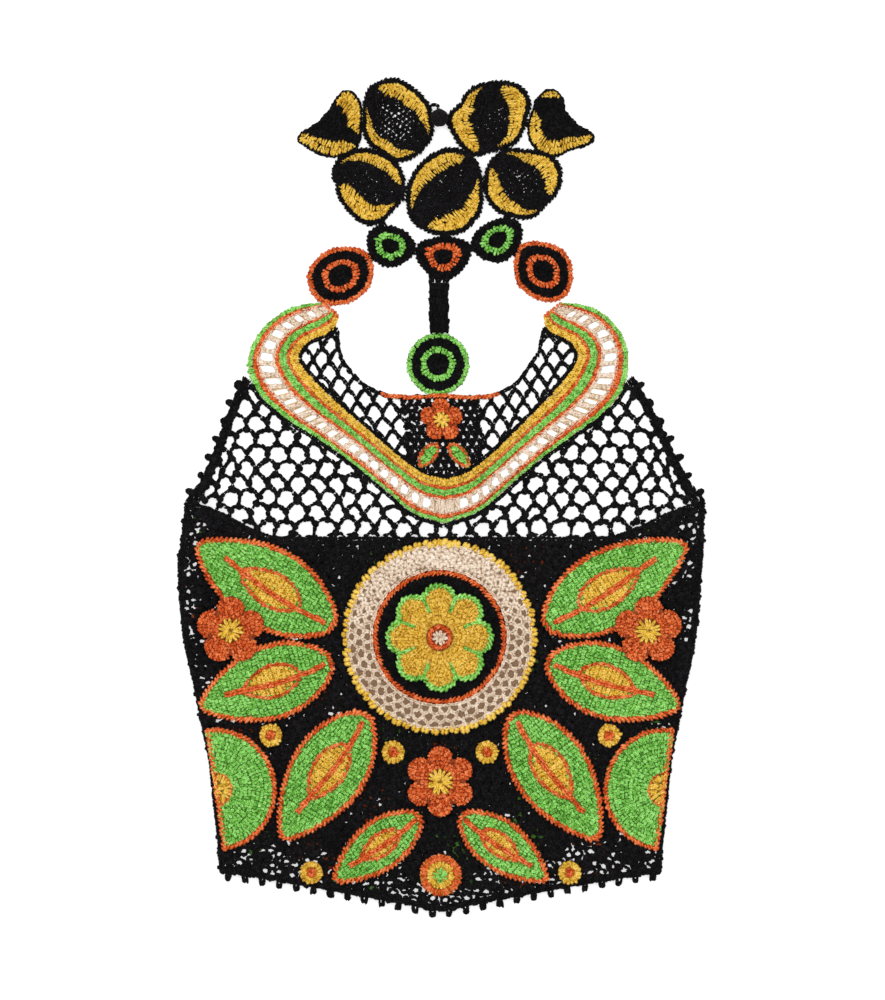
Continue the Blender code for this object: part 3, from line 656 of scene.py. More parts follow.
def body_lines(height):
    """Hem, right side and right half of the top edge of a panel."""
    xs = np.linspace(-SIDES[0][1], SIDES[0][1], HEM_STEPS + 1)
    hem_line = np.column_stack([xs, hem(xs)])
    top = np.column_stack([TOP_MARKS, height(TOP_MARKS)])
    top[0, 0] = half_width(top[0, 1])
    side = np.array([(x, y) for y, x in SIDES if y < top[0, 1] - 2 * MM] + [tuple(top[0])])
    return hem_line, side, top


def body_outline(height):
    hem_line, side, top = body_lines(height)
    right = np.vstack([side[1:], top[1:]])
    return np.vstack([hem_line, right, flipped(right)[::-1][1:]])


ground_outline = body_outline(ground_top)
back_outline = body_outline(back_top)
print("outline points:", len(ground_outline))

# %% [markdown]
# ## Nets
# The open parts are arch net: a chain is caught down on the row below, arches over and is caught down
# again, and the next row hangs on the tops of the arches.  A row of arches and the short uprights under
# them are drawn for every row, cut off at the outline of the panel.  The same drawing at a small pitch
# gives the close black ground, in which small holes are then left open.

# %% Arch nets
BULGE_TALL, BULGE_WIDE, KNOT_TURN, KNOT_SLIM = 0.13, 0.04, 0.6, 0.86


def arch_net(wide, tall, rows, columns, foot, leg, uneven):
    """Lines of the arches and of the uprights, and the knots between them."""
    arches, uprights, knots = [], [], []
    half = tall - leg

    def shift(column, row, phase):
        return uneven * np.array([wobble(column, row, phase), wobble(row, column, phase + 0.9)])

    for row in range(rows[0], rows[1]):
        for column in range(columns[0], columns[1]):
            x, y = (column + 0.5 * (row % 2)) * wide, foot + row * tall
            top = np.array([x, y + half]) + shift(column, row, 0.4)
            left = np.array([x - wide / 2, y + leg]) + shift(column - 1, row, 1.7)
            right = np.array([x + wide / 2, y + leg]) + shift(column, row, 1.7)
            below = column if row % 2 == 0 else column + 1
            under = np.array([x + wide / 2, y - leg]) + shift(below, row - 1, 0.4)
            bulge = np.array([0.0, BULGE_TALL * (half - leg) + BULGE_WIDE * wide])
            arches.append(smooth_line([left, (left + top) / 2 + bulge, top,
                                       (top + right) / 2 + bulge, right], 3))
            uprights.append(np.array([under, right]))
            knots += [top, right]
    return arches, uprights, np.array(knots)


def strand_marks(lines, pitch, length, width, thick, lift):
    return np.vstack([along_line(line, pitch, length, width, thick, lift) for line in lines])


def knot_marks(knots, size, thick, lift):
    rest = np.tile([KNOT_TURN, size, size * KNOT_SLIM, thick, lift], (len(knots), 1))
    return np.column_stack([knots, rest])


def within(outline, marks, rim):
    """The marks that lie inside the outline, at least rim away from it."""
    return marks[inside(outline, marks) & (clearance(outline, marks) > rim)]


#             wide    tall    rows       columns     foot     leg     uneven
BACK_NET = (0.0088, 0.0074, (-2, 44), (-24, 25), -0.318, 0.0018, 0.0012)
GROUND_NET = (0.0066, 0.0057, (-3, 56), (-32, 33), -0.316, 0.0013, 0.0011)
OPEN_NET = (0.0147, 0.0112, (-1, 16), (-1, 15), -0.0240, 0.0028, 0.0024)
LOOP_NET = (0.0125, 0.0102, (-6, 8), (-10, 11), 0.0620, 0.0012, 0.0008)
CLOSE_NET = (0.0062, 0.0054, (-11, 6), (-6, 7), 0.0620, 0.0012, 0.0005)
print("arches of the open net, before it is cut off:", len(arch_net(*OPEN_NET)[0]))

# %% [markdown]
# ## The yoke band's lines
# The band is a loft: its outer and inner edges are cut into equal steps, and a share from 0 to 1 across
# the band gives every row its line.

# %% Edges of the band
YOKE_OUTER = ((0.0900, 0.1462), (0.1040, 0.1450), (0.1190, 0.1395), (0.1325, 0.1280),
              (0.1405, 0.1140), (0.1425, 0.0980), (0.1360, 0.0790), (0.1180, 0.0610),
              (0.0950, 0.0455), (0.0710, 0.0280), (0.0470, 0.0080), (0.0240, -0.0110),
              (0.0000, -0.0190))
YOKE_INNER = ((0.0770, 0.1355), (0.0800, 0.1270), (0.0885, 0.1220), (0.0985, 0.1170),
              (0.1050, 0.1055), (0.0990, 0.0945), (0.0880, 0.0820), (0.0750, 0.0690),
              (0.0610, 0.0560), (0.0460, 0.0420), (0.0300, 0.0280), (0.0150, 0.0180),
              (0.0000, 0.0145))
YOKE_STEPS = 78
band_outer = spaced(smooth_line(YOKE_OUTER, 6), YOKE_STEPS)
band_inner = spaced(smooth_line(YOKE_INNER, 6), YOKE_STEPS)


def band_line(share):
    """The line at this share of the way across the right half of the band."""
    return band_outer * (1.0 - share) + band_inner * share


print("the band's middle line is", round(2 * line_length(band_line(0.5)), 3), "m long")

# %% [markdown]
# ## Back panel
# The back is black net with patches of green and orange, seen only through the holes of the front and
# along its edges.  The patches are the back's own colours, darkened as painted shade by the core cottons.
# Coarser links than on the front are enough for it.  Both layers are worked close, and loosen into
# uneven holes near the hem and the sides.  The same spots are left open in both, so the table shows
# through them.

# %% Where the black work is loose
HOLE_STEP, HOLE_FIELD = (8.6 * MM, 7.0 * MM), ((-0.198, 0.198), (-0.308, -0.002))
EYELET_POINTS = 17
HOLE_LONG, HOLE_TALL, HOLE_TILT = (1.5 * MM, 3.1 * MM), (1.0 * MM, 1.8 * MM), 0.5
LOOSE_AT, LOOSE_SHARE = (2 * MM, 12 * MM, 28 * MM, 46 * MM), (0.85, 0.66, 0.24, 0.03)
SIDE_FIRM, HOLE_STRAY, HOLE_EDGE = 2.2, 1.3 * MM, 4 * MM


def loose_spots():
    """Middle, half length, half height and tilt of the holes: most are near the hem and sides."""
    xs, ys = np.meshgrid(*(np.arange(*field, step) for field, step in zip(HOLE_FIELD, HOLE_STEP)))
    xs[1::2] += HOLE_STEP[0] / 2
    spots = np.column_stack([xs.ravel(), ys.ravel()])
    spots += chance.normal(0.0, HOLE_STRAY, spots.shape)
    half = np.interp(spots[:, 1], [row[0] for row in SIDES], [row[1] for row in SIDES])
    edge = np.minimum(spots[:, 1] - hem(spots[:, 0]), (half - np.abs(spots[:, 0])) * SIDE_FIRM)
    wanted = chance.uniform(0.0, 1.0, len(spots)) < np.interp(edge, LOOSE_AT, LOOSE_SHARE)
    spots = spots[wanted & (edge > HOLE_EDGE)]
    return np.column_stack([spots, chance.uniform(*HOLE_LONG, len(spots)),
                            chance.uniform(*HOLE_TALL, len(spots)),
                            chance.uniform(-HOLE_TILT, HOLE_TILT, len(spots))])


def pierced(marks, holes, more):
    """Leaves out the stitches that would reach over a hole."""
    off = marks[:, None, :2] - holes[None, :, :2]
    cosine, sine = np.cos(holes[:, 4]), np.sin(holes[:, 4])
    along = (off[..., 0] * cosine + off[..., 1] * sine) / (holes[:, 2] + more)
    across = (off[..., 1] * cosine - off[..., 0] * sine) / (holes[:, 3] + more)
    return marks[(along ** 2 + across ** 2).min(axis=1) > 1.0]


def eyelets(holes, more):
    """A closed line round each hole."""
    angle = np.linspace(0.0, 2 * math.pi, EYELET_POINTS)
    lines = []
    for x, y, half_long, half_tall, tilt in holes:
        along, across = (half_long + more) * np.cos(angle), (half_tall + more) * np.sin(angle)
        lines.append(np.column_stack([x + along * math.cos(tilt) - across * math.sin(tilt),
                                      y + along * math.sin(tilt) + across * math.cos(tilt)]))
    return lines


loose = loose_spots()
print("loose places in the black work:", len(loose))

# %% Back panel
STRAND_LIFT = 1.05 * MM
CLOSE_LINK = (2.9 * MM, 4.5 * MM, 3.3 * MM, 2.1 * MM, STRAND_LIFT)
BACK_LINK = (3.3 * MM, 5.2 * MM, 8.2 * MM, 2.1 * MM, STRAND_LIFT)
BACK_MORE, BACK_RIM, BACK_EDGE, GLIMMER_FROM = 3.4 * MM, 3.8 * MM, 1.5 * MM, 0.52
PATCH_ACROSS, PATCH_DOWN, PATCH_SLANT = 61.0, 47.0, 30.0

arches, uprights, _ = arch_net(*BACK_NET)
back_marks = within(back_outline, strand_marks(arches + uprights, *BACK_LINK), BACK_RIM)
back_marks = pierced(back_marks, loose, BACK_MORE)
back_x, back_y = back_marks[:, 0], back_marks[:, 1]
patch = np.sin(back_x * PATCH_ACROSS + 1.0) * np.cos(back_y * PATCH_DOWN + back_x * PATCH_SLANT)
back_border = np.vstack([back_outline, back_outline[:1]])
back_edge = along_line(aside(back_border, BACK_EDGE), *CLOSE_LINK)
black = np.abs(patch) < GLIMMER_FROM
back_panel = lay("back_panel_net", link, np.vstack([back_marks[black], back_edge]), BLACK,
                 on_table, node="back_panel")
back_green = lay("back_panel_green", link, back_marks[patch > GLIMMER_FROM], GREEN, on_table)
back_orange = lay("back_panel_orange", link, back_marks[patch < -GLIMMER_FROM], ORANGE, on_table)
# Painted shade: the patches take the darker core cottons, so that they look as if they lie in shade.
for piece, slot in ((back_green, GREEN), (back_orange, ORANGE)):
    piece.data.materials[0] = shade_cores[slot]
print("stitches in the back:", len(back_marks))

# %% [markdown]
# ## Motif shapes
# The leaves, fans, flowers and the roundel are generic shapes of the craft.  Each is described by the
# same few numbers as in the frame, and gives an outline, which the ground and the edging need too.

# %% Leaves
LEAVES = (
    # name      foot x   foot y    tip x    tip y    width
    ("upper", -0.0785, -0.0960, -0.1830, -0.0345, 0.0600),
    ("middle", -0.0800, -0.1215, -0.1795, -0.1560, 0.0560),
    ("lower", -0.0545, -0.1610, -0.1180, -0.2550, 0.0570),
    ("hem", -0.0150, -0.2370, -0.0800, -0.2860, 0.0380),
)
NECK_LEAF = (-0.0045, 0.0410, -0.0190, 0.0228, 0.0125)
ROW_LEAN, ROW_DIP = 0.16, 0.40 * MM
HEART_SHARE, HEART_AT, HEART_FULL = 0.38, 0.46, 1.32
LEAF_SKEW, LEAF_ROUND, LEAF_BLUNT, LEAF_POINTS, LEAF_LEAST = 0.85, 0.75, 0.06, 40, 0.3 * MM
ROW_LEAST, ROW_BOW, ROW_POINTS = 1.2 * MM, 0.35, 6


class Leaf:
    """A pointed leaf between a foot and a tip."""

    def __init__(self, foot_x, foot_y, tip_x, tip_y, width):
        self.foot = np.array([foot_x, foot_y])
        run = np.array([tip_x, tip_y]) - self.foot
        self.length = float(np.hypot(*run))
        self.along = run / self.length
        self.across = np.array([-self.along[1], self.along[0]])
        self.width = width

    def breadth(self, distance):
        t = np.clip(distance / self.length, 0.0, 1.0)
        bow = np.sin(np.pi * t ** LEAF_SKEW) ** LEAF_ROUND
        return self.width / 2 * (bow * (1.0 - LEAF_BLUNT) + LEAF_BLUNT)

    def spot(self, distance, offset):
        distance, offset = np.atleast_1d(distance), np.atleast_1d(offset)
        return self.foot + distance[:, None] * self.along + offset[:, None] * self.across

    def outline(self, inset=0.0):
        distance = np.linspace(inset, self.length - inset, LEAF_POINTS)
        half = np.maximum(self.breadth(distance) - inset, LEAF_LEAST)
        return np.vstack([self.spot(distance, half), self.spot(distance, -half)[::-1]])

    def rows(self, inset, row_tall, pitch, thick, lift):
        """Rows across the leaf, from its foot to its tip."""
        count = max(2, round((self.length - 2 * inset) / row_tall))
        stations = np.linspace(inset, self.length - inset, count + 1)
        marks = []
        for number, (low, high) in enumerate(zip(stations, stations[1:])):
            half = max(float(self.breadth((low + high) / 2)) - inset, ROW_LEAST)
            bow = np.array([0.0, ROW_BOW, 0.0]) * row_tall
            offsets = np.array([-half, 0.0, half])
            foot = smooth_line(self.spot(low + bow, offsets), ROW_POINTS)
            head = smooth_line(self.spot(high + bow, offsets), ROW_POINTS)
            reach = ROW_SHORT if number % 2 else ROW_OVERLAP
            row = row_between(foot, head, pitch, thick, lift - ROW_DIP * (number % 2), reach)
            row[:, 2] += ROW_LEAN if number % 2 else -ROW_LEAN
            marks.append(row)
        return np.vstack(marks)

    def heart(self, share):
        """The outline shrunk about the middle of the leaf."""
        middle = self.foot + self.along * self.length * HEART_AT
        return middle + (self.outline() - self.foot - self.along * self.length / 2) * share


leaves = {name: Leaf(*row) for name, *row in LEAVES}
neck_leaf = Leaf(*NECK_LEAF)
print("leaves:", {name: round(leaf.length, 3) for name, leaf in leaves.items()})

# %% Round motifs
ROUNDEL_CENTER, ROUNDEL_RADIUS, ROUNDEL_SCALLOPS = (0.0, -0.104), 0.0740, 24
FLOWERS = (
    # name             x        y       radius  petals  leaves under it
    ("flower_left", -0.1560, -0.0990, 0.0260, 5, 1),
    ("flower_right", 0.1560, -0.0990, 0.0260, 5, 1),
    ("flower_center", 0.0000, -0.2120, 0.0270, 6, 0),
    ("neck_flower", 0.0000, 0.0585, 0.0165, 5, 0),
)
ROSETTE_RADIUS, HEM_ROSETTE_RADIUS = 0.0085, 0.0155
ROSETTES = ((-0.1265, -0.1775), (-0.0965, -0.2800), (-0.0350, -0.1900))
HEM_ROSETTE = (0.0, -0.2820)
FAN_Y, FAN_RADIUS, FAN_TURN, FAN_INSET = -0.218, 0.0460, math.radians(8.0), 0.0030
ROUND_STEPS, PETAL_ROUND = 96, 0.7


def plain_edge(angle):
    return np.ones_like(angle)


def petal_edge(petals, depth, turn=0.0):
    """Radius of a flower's outline at an angle: round petals with notches between."""
    return lambda angle: 1.0 - depth * (1.0 - np.abs(np.cos(petals * (angle - turn) / 2)) ** PETAL_ROUND)


def ring(center, radius, share, edge=plain_edge, start=0.0, end=2 * math.pi):
    """A line of one round, at this share of the motif's radius."""
    angle = np.linspace(start, end, ROUND_STEPS + 1)
    reach = radius * share * (1.0 + (edge(angle) - 1.0) * share ** 2)
    return np.column_stack([center[0] + reach * np.cos(angle), center[1] + reach * np.sin(angle)])


def rounds(center, radius, shares, pitch, thick, lift, edge=plain_edge):
    """Rounds of upright stitches between the shares given."""
    return np.vstack([row_between(ring(center, radius, low, edge), ring(center, radius, high, edge), pitch,
                                  thick, lift - ROW_DIP * (number % 2))
                      for number, (low, high) in enumerate(zip(shares, shares[1:]))])


def fan_spot(points):
    """From the fan's own half circle, flat side on its Y axis, to the cut."""
    cosine, sine = math.cos(FAN_TURN), math.sin(FAN_TURN)
    x, y = np.asarray(points, float).T
    foot = -(half_width(FAN_Y) - FAN_INSET)
    return np.column_stack([foot + x * cosine - y * sine, FAN_Y + x * sine + y * cosine])


def fan_arc(share):
    return fan_spot(ring((0.0, 0.0), FAN_RADIUS, share, start=-math.pi / 2, end=math.pi / 2))


print("flowers:", len(FLOWERS), "rosettes:", 2 * len(ROSETTES) + 1)

# %% [markdown]
# ## The black ground of the front
# In this kind of crochet the motifs are made first, and the ground is worked between them.  So the close
# net stops a little way under each motif.  It ends in a firm edge and a row of small picots at the hem.

# %% Front ground
UNDER_MOTIF = 7.0 * MM
HEM_PICOTS, PICOT_TALL = 26, 5.0 * MM


def uncovered(marks):
    """The marks that aren't deep under a motif."""
    shown = np.ones(len(marks), bool)
    covers = [leaf.outline() for leaf in leaves.values()] + [fan_arc(1.0)]
    covers += [flipped(cover) for cover in covers]
    covers.append(ring(ROUNDEL_CENTER, ROUNDEL_RADIUS, 1.0))
    for cover in covers:
        shown &= ~(inside(cover, marks) & (clearance(cover, marks) > UNDER_MOTIF))
    return marks[shown]


GROUND_FIRM, GROUND_UNEVEN, GROUND_THIN = 1.75, 0.20, 0.05
FRONT_MORE, EYELET_OUT = 2.0 * MM, 1.1 * MM
EYELET = (2.1 * MM, 3.6 * MM, 3.0 * MM, 2.0 * MM, STRAND_LIFT)
GROUND_RIM, SIDE_EDGES, TOP_EDGES = 1.2 * MM, (1.4 * MM, 3.6 * MM), (0.2 * MM, 2.7 * MM)
PICOT_THICK = 2.4 * MM
PICOT_STRANDS = (
    # across    down  tall      wide
    (-1.3 * MM, 0.32, 7.0 * MM, 2.8 * MM),
    (1.3 * MM, 0.32, 7.0 * MM, 2.8 * MM),
    (0.0, 0.62, 4.0 * MM, 5.0 * MM),
)

arches, uprights, _ = arch_net(*GROUND_NET)
ground_marks = uncovered(within(ground_outline, strand_marks(arches + uprights, *CLOSE_LINK), GROUND_RIM))
ground_marks = pierced(ground_marks, loose, FRONT_MORE)
ground_marks = ground_marks[chance.uniform(0.0, 1.0, len(ground_marks)) > GROUND_THIN]
uneven = chance.uniform(-GROUND_UNEVEN, GROUND_UNEVEN, len(ground_marks))
ground_marks[:, 4] *= GROUND_FIRM * (1.0 + uneven)
hem_line, side_line, top_line = body_lines(ground_top)
ground_border = np.vstack([flipped(side_line)[::-1], hem_line[1:-1], side_line])
ground_edges = [along_line(aside(ground_border, offset), *CLOSE_LINK) for offset in SIDE_EDGES]
ground_edges += [along_line(whole(top_line) - (0.0, down), *CLOSE_LINK) for down in TOP_EDGES]
rims = uncovered(within(ground_outline, strand_marks(eyelets(loose, EYELET_OUT), *EYELET), GROUND_RIM))
ground_edges = np.vstack(ground_edges + [rims])
ground = lay("front_ground_net", link, np.vstack([ground_marks, ground_edges]), BLACK,
             settle, node="front_ground")

picot_spots = spaced(hem_line, 2 * HEM_PICOTS)[1::2]
picots = np.vstack([np.column_stack([picot_spots + (across, -PICOT_TALL * down),
                                     np.tile([math.pi / 2, tall, wide, PICOT_THICK, STRAND_LIFT],
                                             (HEM_PICOTS, 1))])
                    for across, down, tall, wide in PICOT_STRANDS])
hem_picots = lay("hem_picots", bobble, picots, BLACK, settle)
print("stitches in the ground:", len(ground_marks) + len(ground_edges))

# %% [markdown]
# ## The open nets
# From the underarm to the yoke the front is open arch net in a thicker strand.  Each link shows two
# strands, and there is a knot wherever a chain is caught down.  The armhole is edged twice and carries
# seven larger picots, and the net is drawn together beside it.

# %% Front nets
ARMHOLE = ((0.1945, -0.0020), (0.1840, 0.0120), (0.1765, 0.0260), (0.1690, 0.0420),
           (0.1610, 0.0600), (0.1530, 0.0770), (0.1455, 0.0905))
ARMHOLE_PICOTS, SEAM_SKIP = 7, 5
NET_LINK = (2.8 * MM, 4.5 * MM, 3.5 * MM, 2.3 * MM, 1.15 * MM)
NET_KNOT, NET_UNEVEN = (6.3 * MM, 2.5 * MM, 1.15 * MM), 0.24
NET_RIM, KNOT_RIM, ARM_EDGES, SEAM_EDGE = 0.4 * MM, 1.0 * MM, (1.4 * MM, 4.0 * MM), 1.3 * MM
TAB_OUT, TAB = 1.3 * MM, (7.6 * MM, 6.0 * MM, 2.6 * MM, 1.2 * MM)
GATHER_REACH, GATHER_END, GATHER_LEAST, GATHER_MORE = 38.0 * MM, 0.085, 0.2, 0.7
GATHER_DOWN, BESIDE_SLIM = 0.24, 0.84

corner = int(np.argmax(band_outer[:, 0]))
seam = aside(band_outer, SEAM)[corner + SEAM_SKIP:]
foot_line = np.column_stack([TOP_MARKS, ground_top(TOP_MARKS) + SEAM])[::-1]
armhole = smooth_line(ARMHOLE, 3)
net_outline = np.vstack([foot_line, armhole, seam])


def gather_reach(y):
    return GATHER_REACH * np.clip(1.0 - y / GATHER_END, GATHER_LEAST, 1.0)


def gathered(points):
    """Draws the net together beside the armhole, where its rows run down."""
    x, y = np.asarray(points, float).T
    reach = gather_reach(y)
    depth = np.interp(y, armhole[:, 1], armhole[:, 0]) - x
    share = np.clip((depth + GATHER_MORE * reach) / ((1.0 + GATHER_MORE) * reach), 0.0, 1.0)
    pulled = reach * share ** (1.0 + GATHER_MORE)
    down = GATHER_DOWN * (reach - pulled) ** 2 / reach
    near = depth < reach
    return np.column_stack([np.where(near, x + depth - pulled, x), np.where(near, y - down, y)])


arches, uprights, knots = arch_net(*OPEN_NET)
strands, knots = [gathered(line) for line in arches + uprights], gathered(knots)
net_marks = within(net_outline, strand_marks(strands, *NET_LINK), NET_RIM)
beside = clearance(armhole, net_marks) < gather_reach(net_marks[:, 1])
net_marks[:, 4] *= np.where(beside, BESIDE_SLIM, 1.0)
net_marks[:, 4] *= 1.0 + chance.uniform(-NET_UNEVEN, NET_UNEVEN, len(net_marks))
net_edges = [along_line(aside(armhole, offset), *NET_LINK) for offset in ARM_EDGES]
net_edges.append(along_line(aside(seam, SEAM_EDGE), *NET_LINK))
net_edges = np.vstack(net_edges)
net_knots = within(net_outline, knot_marks(knots, *NET_KNOT), KNOT_RIM)
tab_spots = spaced(armhole, 2 * ARMHOLE_PICOTS)[1::2]
tab_step = np.gradient(spaced(armhole, 2 * ARMHOLE_PICOTS), axis=0)[1::2]
tab_angle = np.arctan2(tab_step[:, 1], tab_step[:, 0]) - math.pi / 2
tab_out = np.column_stack([np.cos(tab_angle), np.sin(tab_angle)])
net_tabs = np.column_stack([tab_spots + tab_out * TAB_OUT, tab_angle, np.tile(TAB, (ARMHOLE_PICOTS, 1))])

net_sheets, net_pieces = {}, {}
for side, turn_over in (("right", same), ("left", mirror)):
    node = "front_net_" + side
    net_sheets[side] = lay(node + "_chains", chain, turn_over(net_marks), BLACK, settle, node=node)
    net_pieces[side] = [
        lay(node + "_edges", chain, turn_over(net_edges), BLACK, settle),
        lay(node + "_knots", bobble, turn_over(np.vstack([net_knots, net_tabs])), BLACK, settle)]
print("links in one net:", len(net_marks), "knots:", len(net_knots))

# %% [markdown]
# ## The yoke band
# Eight rows of stitches and one of openwork run round the band: green and orange at the outside, cream
# openwork, then orange, green, orange and yellow.  Each bar between two gaps of the openwork is one wide
# strand under a crossed pair.

# %% Yoke band
YARN_PITCH = 2.25 * MM
MOTIF_THICK, MOTIF_LIFT = 2.0 * MM, 1.25 * MM
MOTIF_POST = (YARN_PITCH, MOTIF_THICK, MOTIF_LIFT)
ROW_TALL = 3.2 * MM
BAND_ROWS = (
    # title      slot             from   to    pitch     slant
    ("green_edge", GREEN, 0.00, 0.09, 2.6 * MM, 0.45),
    ("orange_edge", ORANGE, 0.09, 0.20, 2.7 * MM, -0.35),
    ("orange_inner", ORANGE, 0.50, 0.59, 2.7 * MM, 0.40),
    ("green_row", GREEN, 0.59, 0.665, 2.3 * MM, 0.16),
    ("green_upper_row", GREEN, 0.665, 0.74, 2.3 * MM, -0.16),
    ("orange_line", ORANGE, 0.74, 0.81, 2.6 * MM, -0.35),
    ("yellow_row", YELLOW, 0.81, 0.905, 2.4 * MM, 0.1),
    ("yellow_upper_row", YELLOW, 0.905, 1.00, 2.4 * MM, -0.1),
)
OPENWORK_PITCH, BAND_FULL = 10.8 * MM, 1.16

for title, slot, start, end, pitch, slant in BAND_ROWS:
    marks = row_between(whole(band_line(start)), whole(band_line(end)), pitch, MOTIF_THICK, MOTIF_LIFT)
    marks[:, 2] += slant
    marks[:, 4] *= BAND_FULL
    lay("yoke_" + title, post, marks, slot, settle)

BAR_STEPS, YOKE_SHADES = 8, (0.80, 0.66, 0.42)
OPEN_FROM, OPEN_TO, OPEN_EDGES = 0.20, 0.50, (0.205, 0.495)
CROSS_BAR = (3.4 * MM, 5.0 * MM, 2.9 * MM, MOTIF_THICK, MOTIF_LIFT)
WIDE_BAR = (3.4 * MM, 5.0 * MM, 3.8 * MM, MOTIF_THICK, MOTIF_LIFT - 0.25 * MM)
EDGE_BAR = (3.0 * MM, 4.6 * MM, 2.9 * MM, MOTIF_THICK, MOTIF_LIFT)
SHOULDER = (2.6 * MM, 4.4 * MM, 3.0 * MM, 2.4 * MM, MOTIF_LIFT, 1.2)

bar_count = round(line_length(band_outer) / OPENWORK_PITCH)
fine_outer, fine_inner = (spaced(edge, BAR_STEPS * bar_count) for edge in (band_outer, band_inner))
fine_low = fine_outer + (fine_inner - fine_outer) * OPEN_FROM
fine_high = fine_outer + (fine_inner - fine_outer) * OPEN_TO
openwork = []
for bar in range(1, bar_count):
    middle = BAR_STEPS * bar
    for low, high in ((middle - 1, middle + 1), (middle + 1, middle - 1)):
        openwork.append(along_line([fine_low[low], fine_high[high]], *CROSS_BAR))
    openwork.append(along_line([fine_low[middle], fine_high[middle]], *WIDE_BAR))
for start, end in ((0, BAR_STEPS + 2), (BAR_STEPS * bar_count - 6, BAR_STEPS * bar_count)):
    openwork.append(row_between(fine_low[start:end + 1], fine_high[start:end + 1], 2.6 * MM, MOTIF_THICK,
                                MOTIF_LIFT))
for share in OPEN_EDGES:
    openwork.append(along_line(band_line(share), *EDGE_BAR))
lay("yoke_openwork", chain, both(np.vstack(openwork)), CREAM, settle)
shoulder = along_line([band_outer[0], band_inner[0]], *SHOULDER)
lay("yoke_shoulder_ends", chain, both(shoulder), ORANGE, settle)
# Painted shade under the openwork: the yoke's core is cream darkened by YOKE_SHADES, lighter than the
# other cores.
yoke_core = core("yoke_band", CREAM, settle)
yoke_core.data.materials[0] = cotton(CREAM, YOKE_SHADES)
yoke_core.data.materials[0].name = "yoke_core"

# %% [markdown]
# ## The net inside the neckline
# Loose black loops fill the space between the band and the neckline at the sides.  In the middle the net
# is worked close, and an orange chain firms the neckline under the disc.

# %% Neck net
CLOSE_FULL, UNDER_DISC = 1.32, 0.045
NECKLINE_LINK = (2.8 * MM, 4.6 * MM, 3.4 * MM, 2.4 * MM, 2.3 * MM, 0.5)
NECKLINE = ((0.0770, 0.1250), (0.0750, 0.1100), (0.0670, 0.0960), (0.0560, 0.0845),
            (0.0400, 0.0770), (0.0200, 0.0755), (0.0000, 0.0770))
CLOSE_WORK_HALF, SEAM_IN = 0.0260, 1.2 * MM
neck_edge = smooth_line(NECKLINE, 4)
neck_inner = aside(band_inner, -SEAM)[3:]
neck_outline = np.vstack([whole(neck_inner), whole(neck_edge)[::-1][1:-1]])

arches, uprights, _ = arch_net(*LOOP_NET)
loops = within(neck_outline, strand_marks(arches + uprights, *NET_LINK), 0.2 * MM)
loops = loops[np.abs(loops[:, 0]) > CLOSE_WORK_HALF - 1 * MM]
arches, uprights, _ = arch_net(*CLOSE_NET)
close = within(neck_outline, strand_marks(arches + uprights, *NET_LINK), 0.6 * MM)
close[:, 4] *= CLOSE_FULL
close = close[np.abs(close[:, 0]) < CLOSE_WORK_HALF + 2 * MM]
neck_chain = along_line(whole(neck_edge), *NET_LINK)
seam_chain = along_line(whole(aside(neck_inner, -SEAM_IN)), *NET_LINK)
neck_net = lay("neck_net_chains", chain, np.vstack([loops, neck_chain]), BLACK, on_table,
               node="neck_net")
neck_close = lay("neck_net_close_work", chain, np.vstack([close, seam_chain]), BLACK, on_table)
middle = neck_edge[np.abs(neck_edge[:, 0]) < UNDER_DISC]
neckline_chain = lay("neckline_chain", chain, along_line(whole(middle), *NECKLINE_LINK), ORANGE, on_table)
print("links in the neck net:", len(loops) + len(close))

# %% [markdown]
# ## Leaves
# Each leaf is worked in rows across, firm and even, in green, and the yarn changes to yellow for a small
# leaf in its middle.  An orange slip-stitch edging hides where the rows turn, and a midrib is chained on
# top.

# %% Leaves and their edgings
EDGE_SLANT = 0.80
EDGING = (3.5 * MM, 5.0 * MM, 4.4 * MM, 2.8 * MM, MOTIF_LIFT, EDGE_SLANT)
LEAF_INSET, ROWS_IN, EDGE_IN, HEART_MORE = 2.3 * MM, 0.8 * MM, 1.5 * MM, 0.04
HEART_EDGING = (2.9 * MM, 4.4 * MM, 3.0 * MM, 2.4 * MM, MOTIF_LIFT + 0.4 * MM, EDGE_SLANT / 2)


def closed(line):
    return np.vstack([line, line[:1]])


RIB_FROM, RIB_TO, RIB_POINTS, RIB_BOW, RIB_WAVE = 0.06, 0.80, 20, 0.05, 5.0
RIB = (2.9 * MM, 4.6 * MM, 4.4 * MM, 2.5 * MM, MOTIF_LIFT + 1.0 * MM)
UNDER_FULL, UNDER_DEEP = 1.35, 0.35 * MM


def make_leaf(node, leaf, turn_over):
    """One leaf of yarn on its core; returns its green rows."""
    rise = on_ground()
    rows = leaf.rows(LEAF_INSET + ROWS_IN, ROW_TALL, *MOTIF_POST)
    middle = inside(leaf.heart(HEART_SHARE), rows)
    green = lay(node + "_rows", post, turn_over(rows[~middle]), GREEN, rise)
    under = rows[middle]
    under[:, 4] *= UNDER_FULL
    under[:, 6] -= UNDER_DEEP
    rows[middle, 4] *= HEART_FULL
    yellow = lay(node + "_heart", post, turn_over(rows[middle]), YELLOW, rise)
    shadow = lay(node + "_heart_shadow", link, turn_over(under), YELLOW, rise)
    shadow.data.materials[0] = shade_cores[YELLOW]
    share = np.linspace(RIB_FROM, RIB_TO, RIB_POINTS)
    rib = leaf.spot(leaf.length * share, leaf.width * RIB_BOW * np.sin(share * RIB_WAVE))
    edge = [along_line(closed(leaf.outline(EDGE_IN)), *EDGING),
            along_line(closed(leaf.heart(HEART_SHARE + HEART_MORE)), *HEART_EDGING),
            along_line(rib, *RIB)]
    edging = lay(node + "_edging", chain, turn_over(np.vstack(edge)), ORANGE, rise)
    base = core(node, GREEN, rise)
    return green


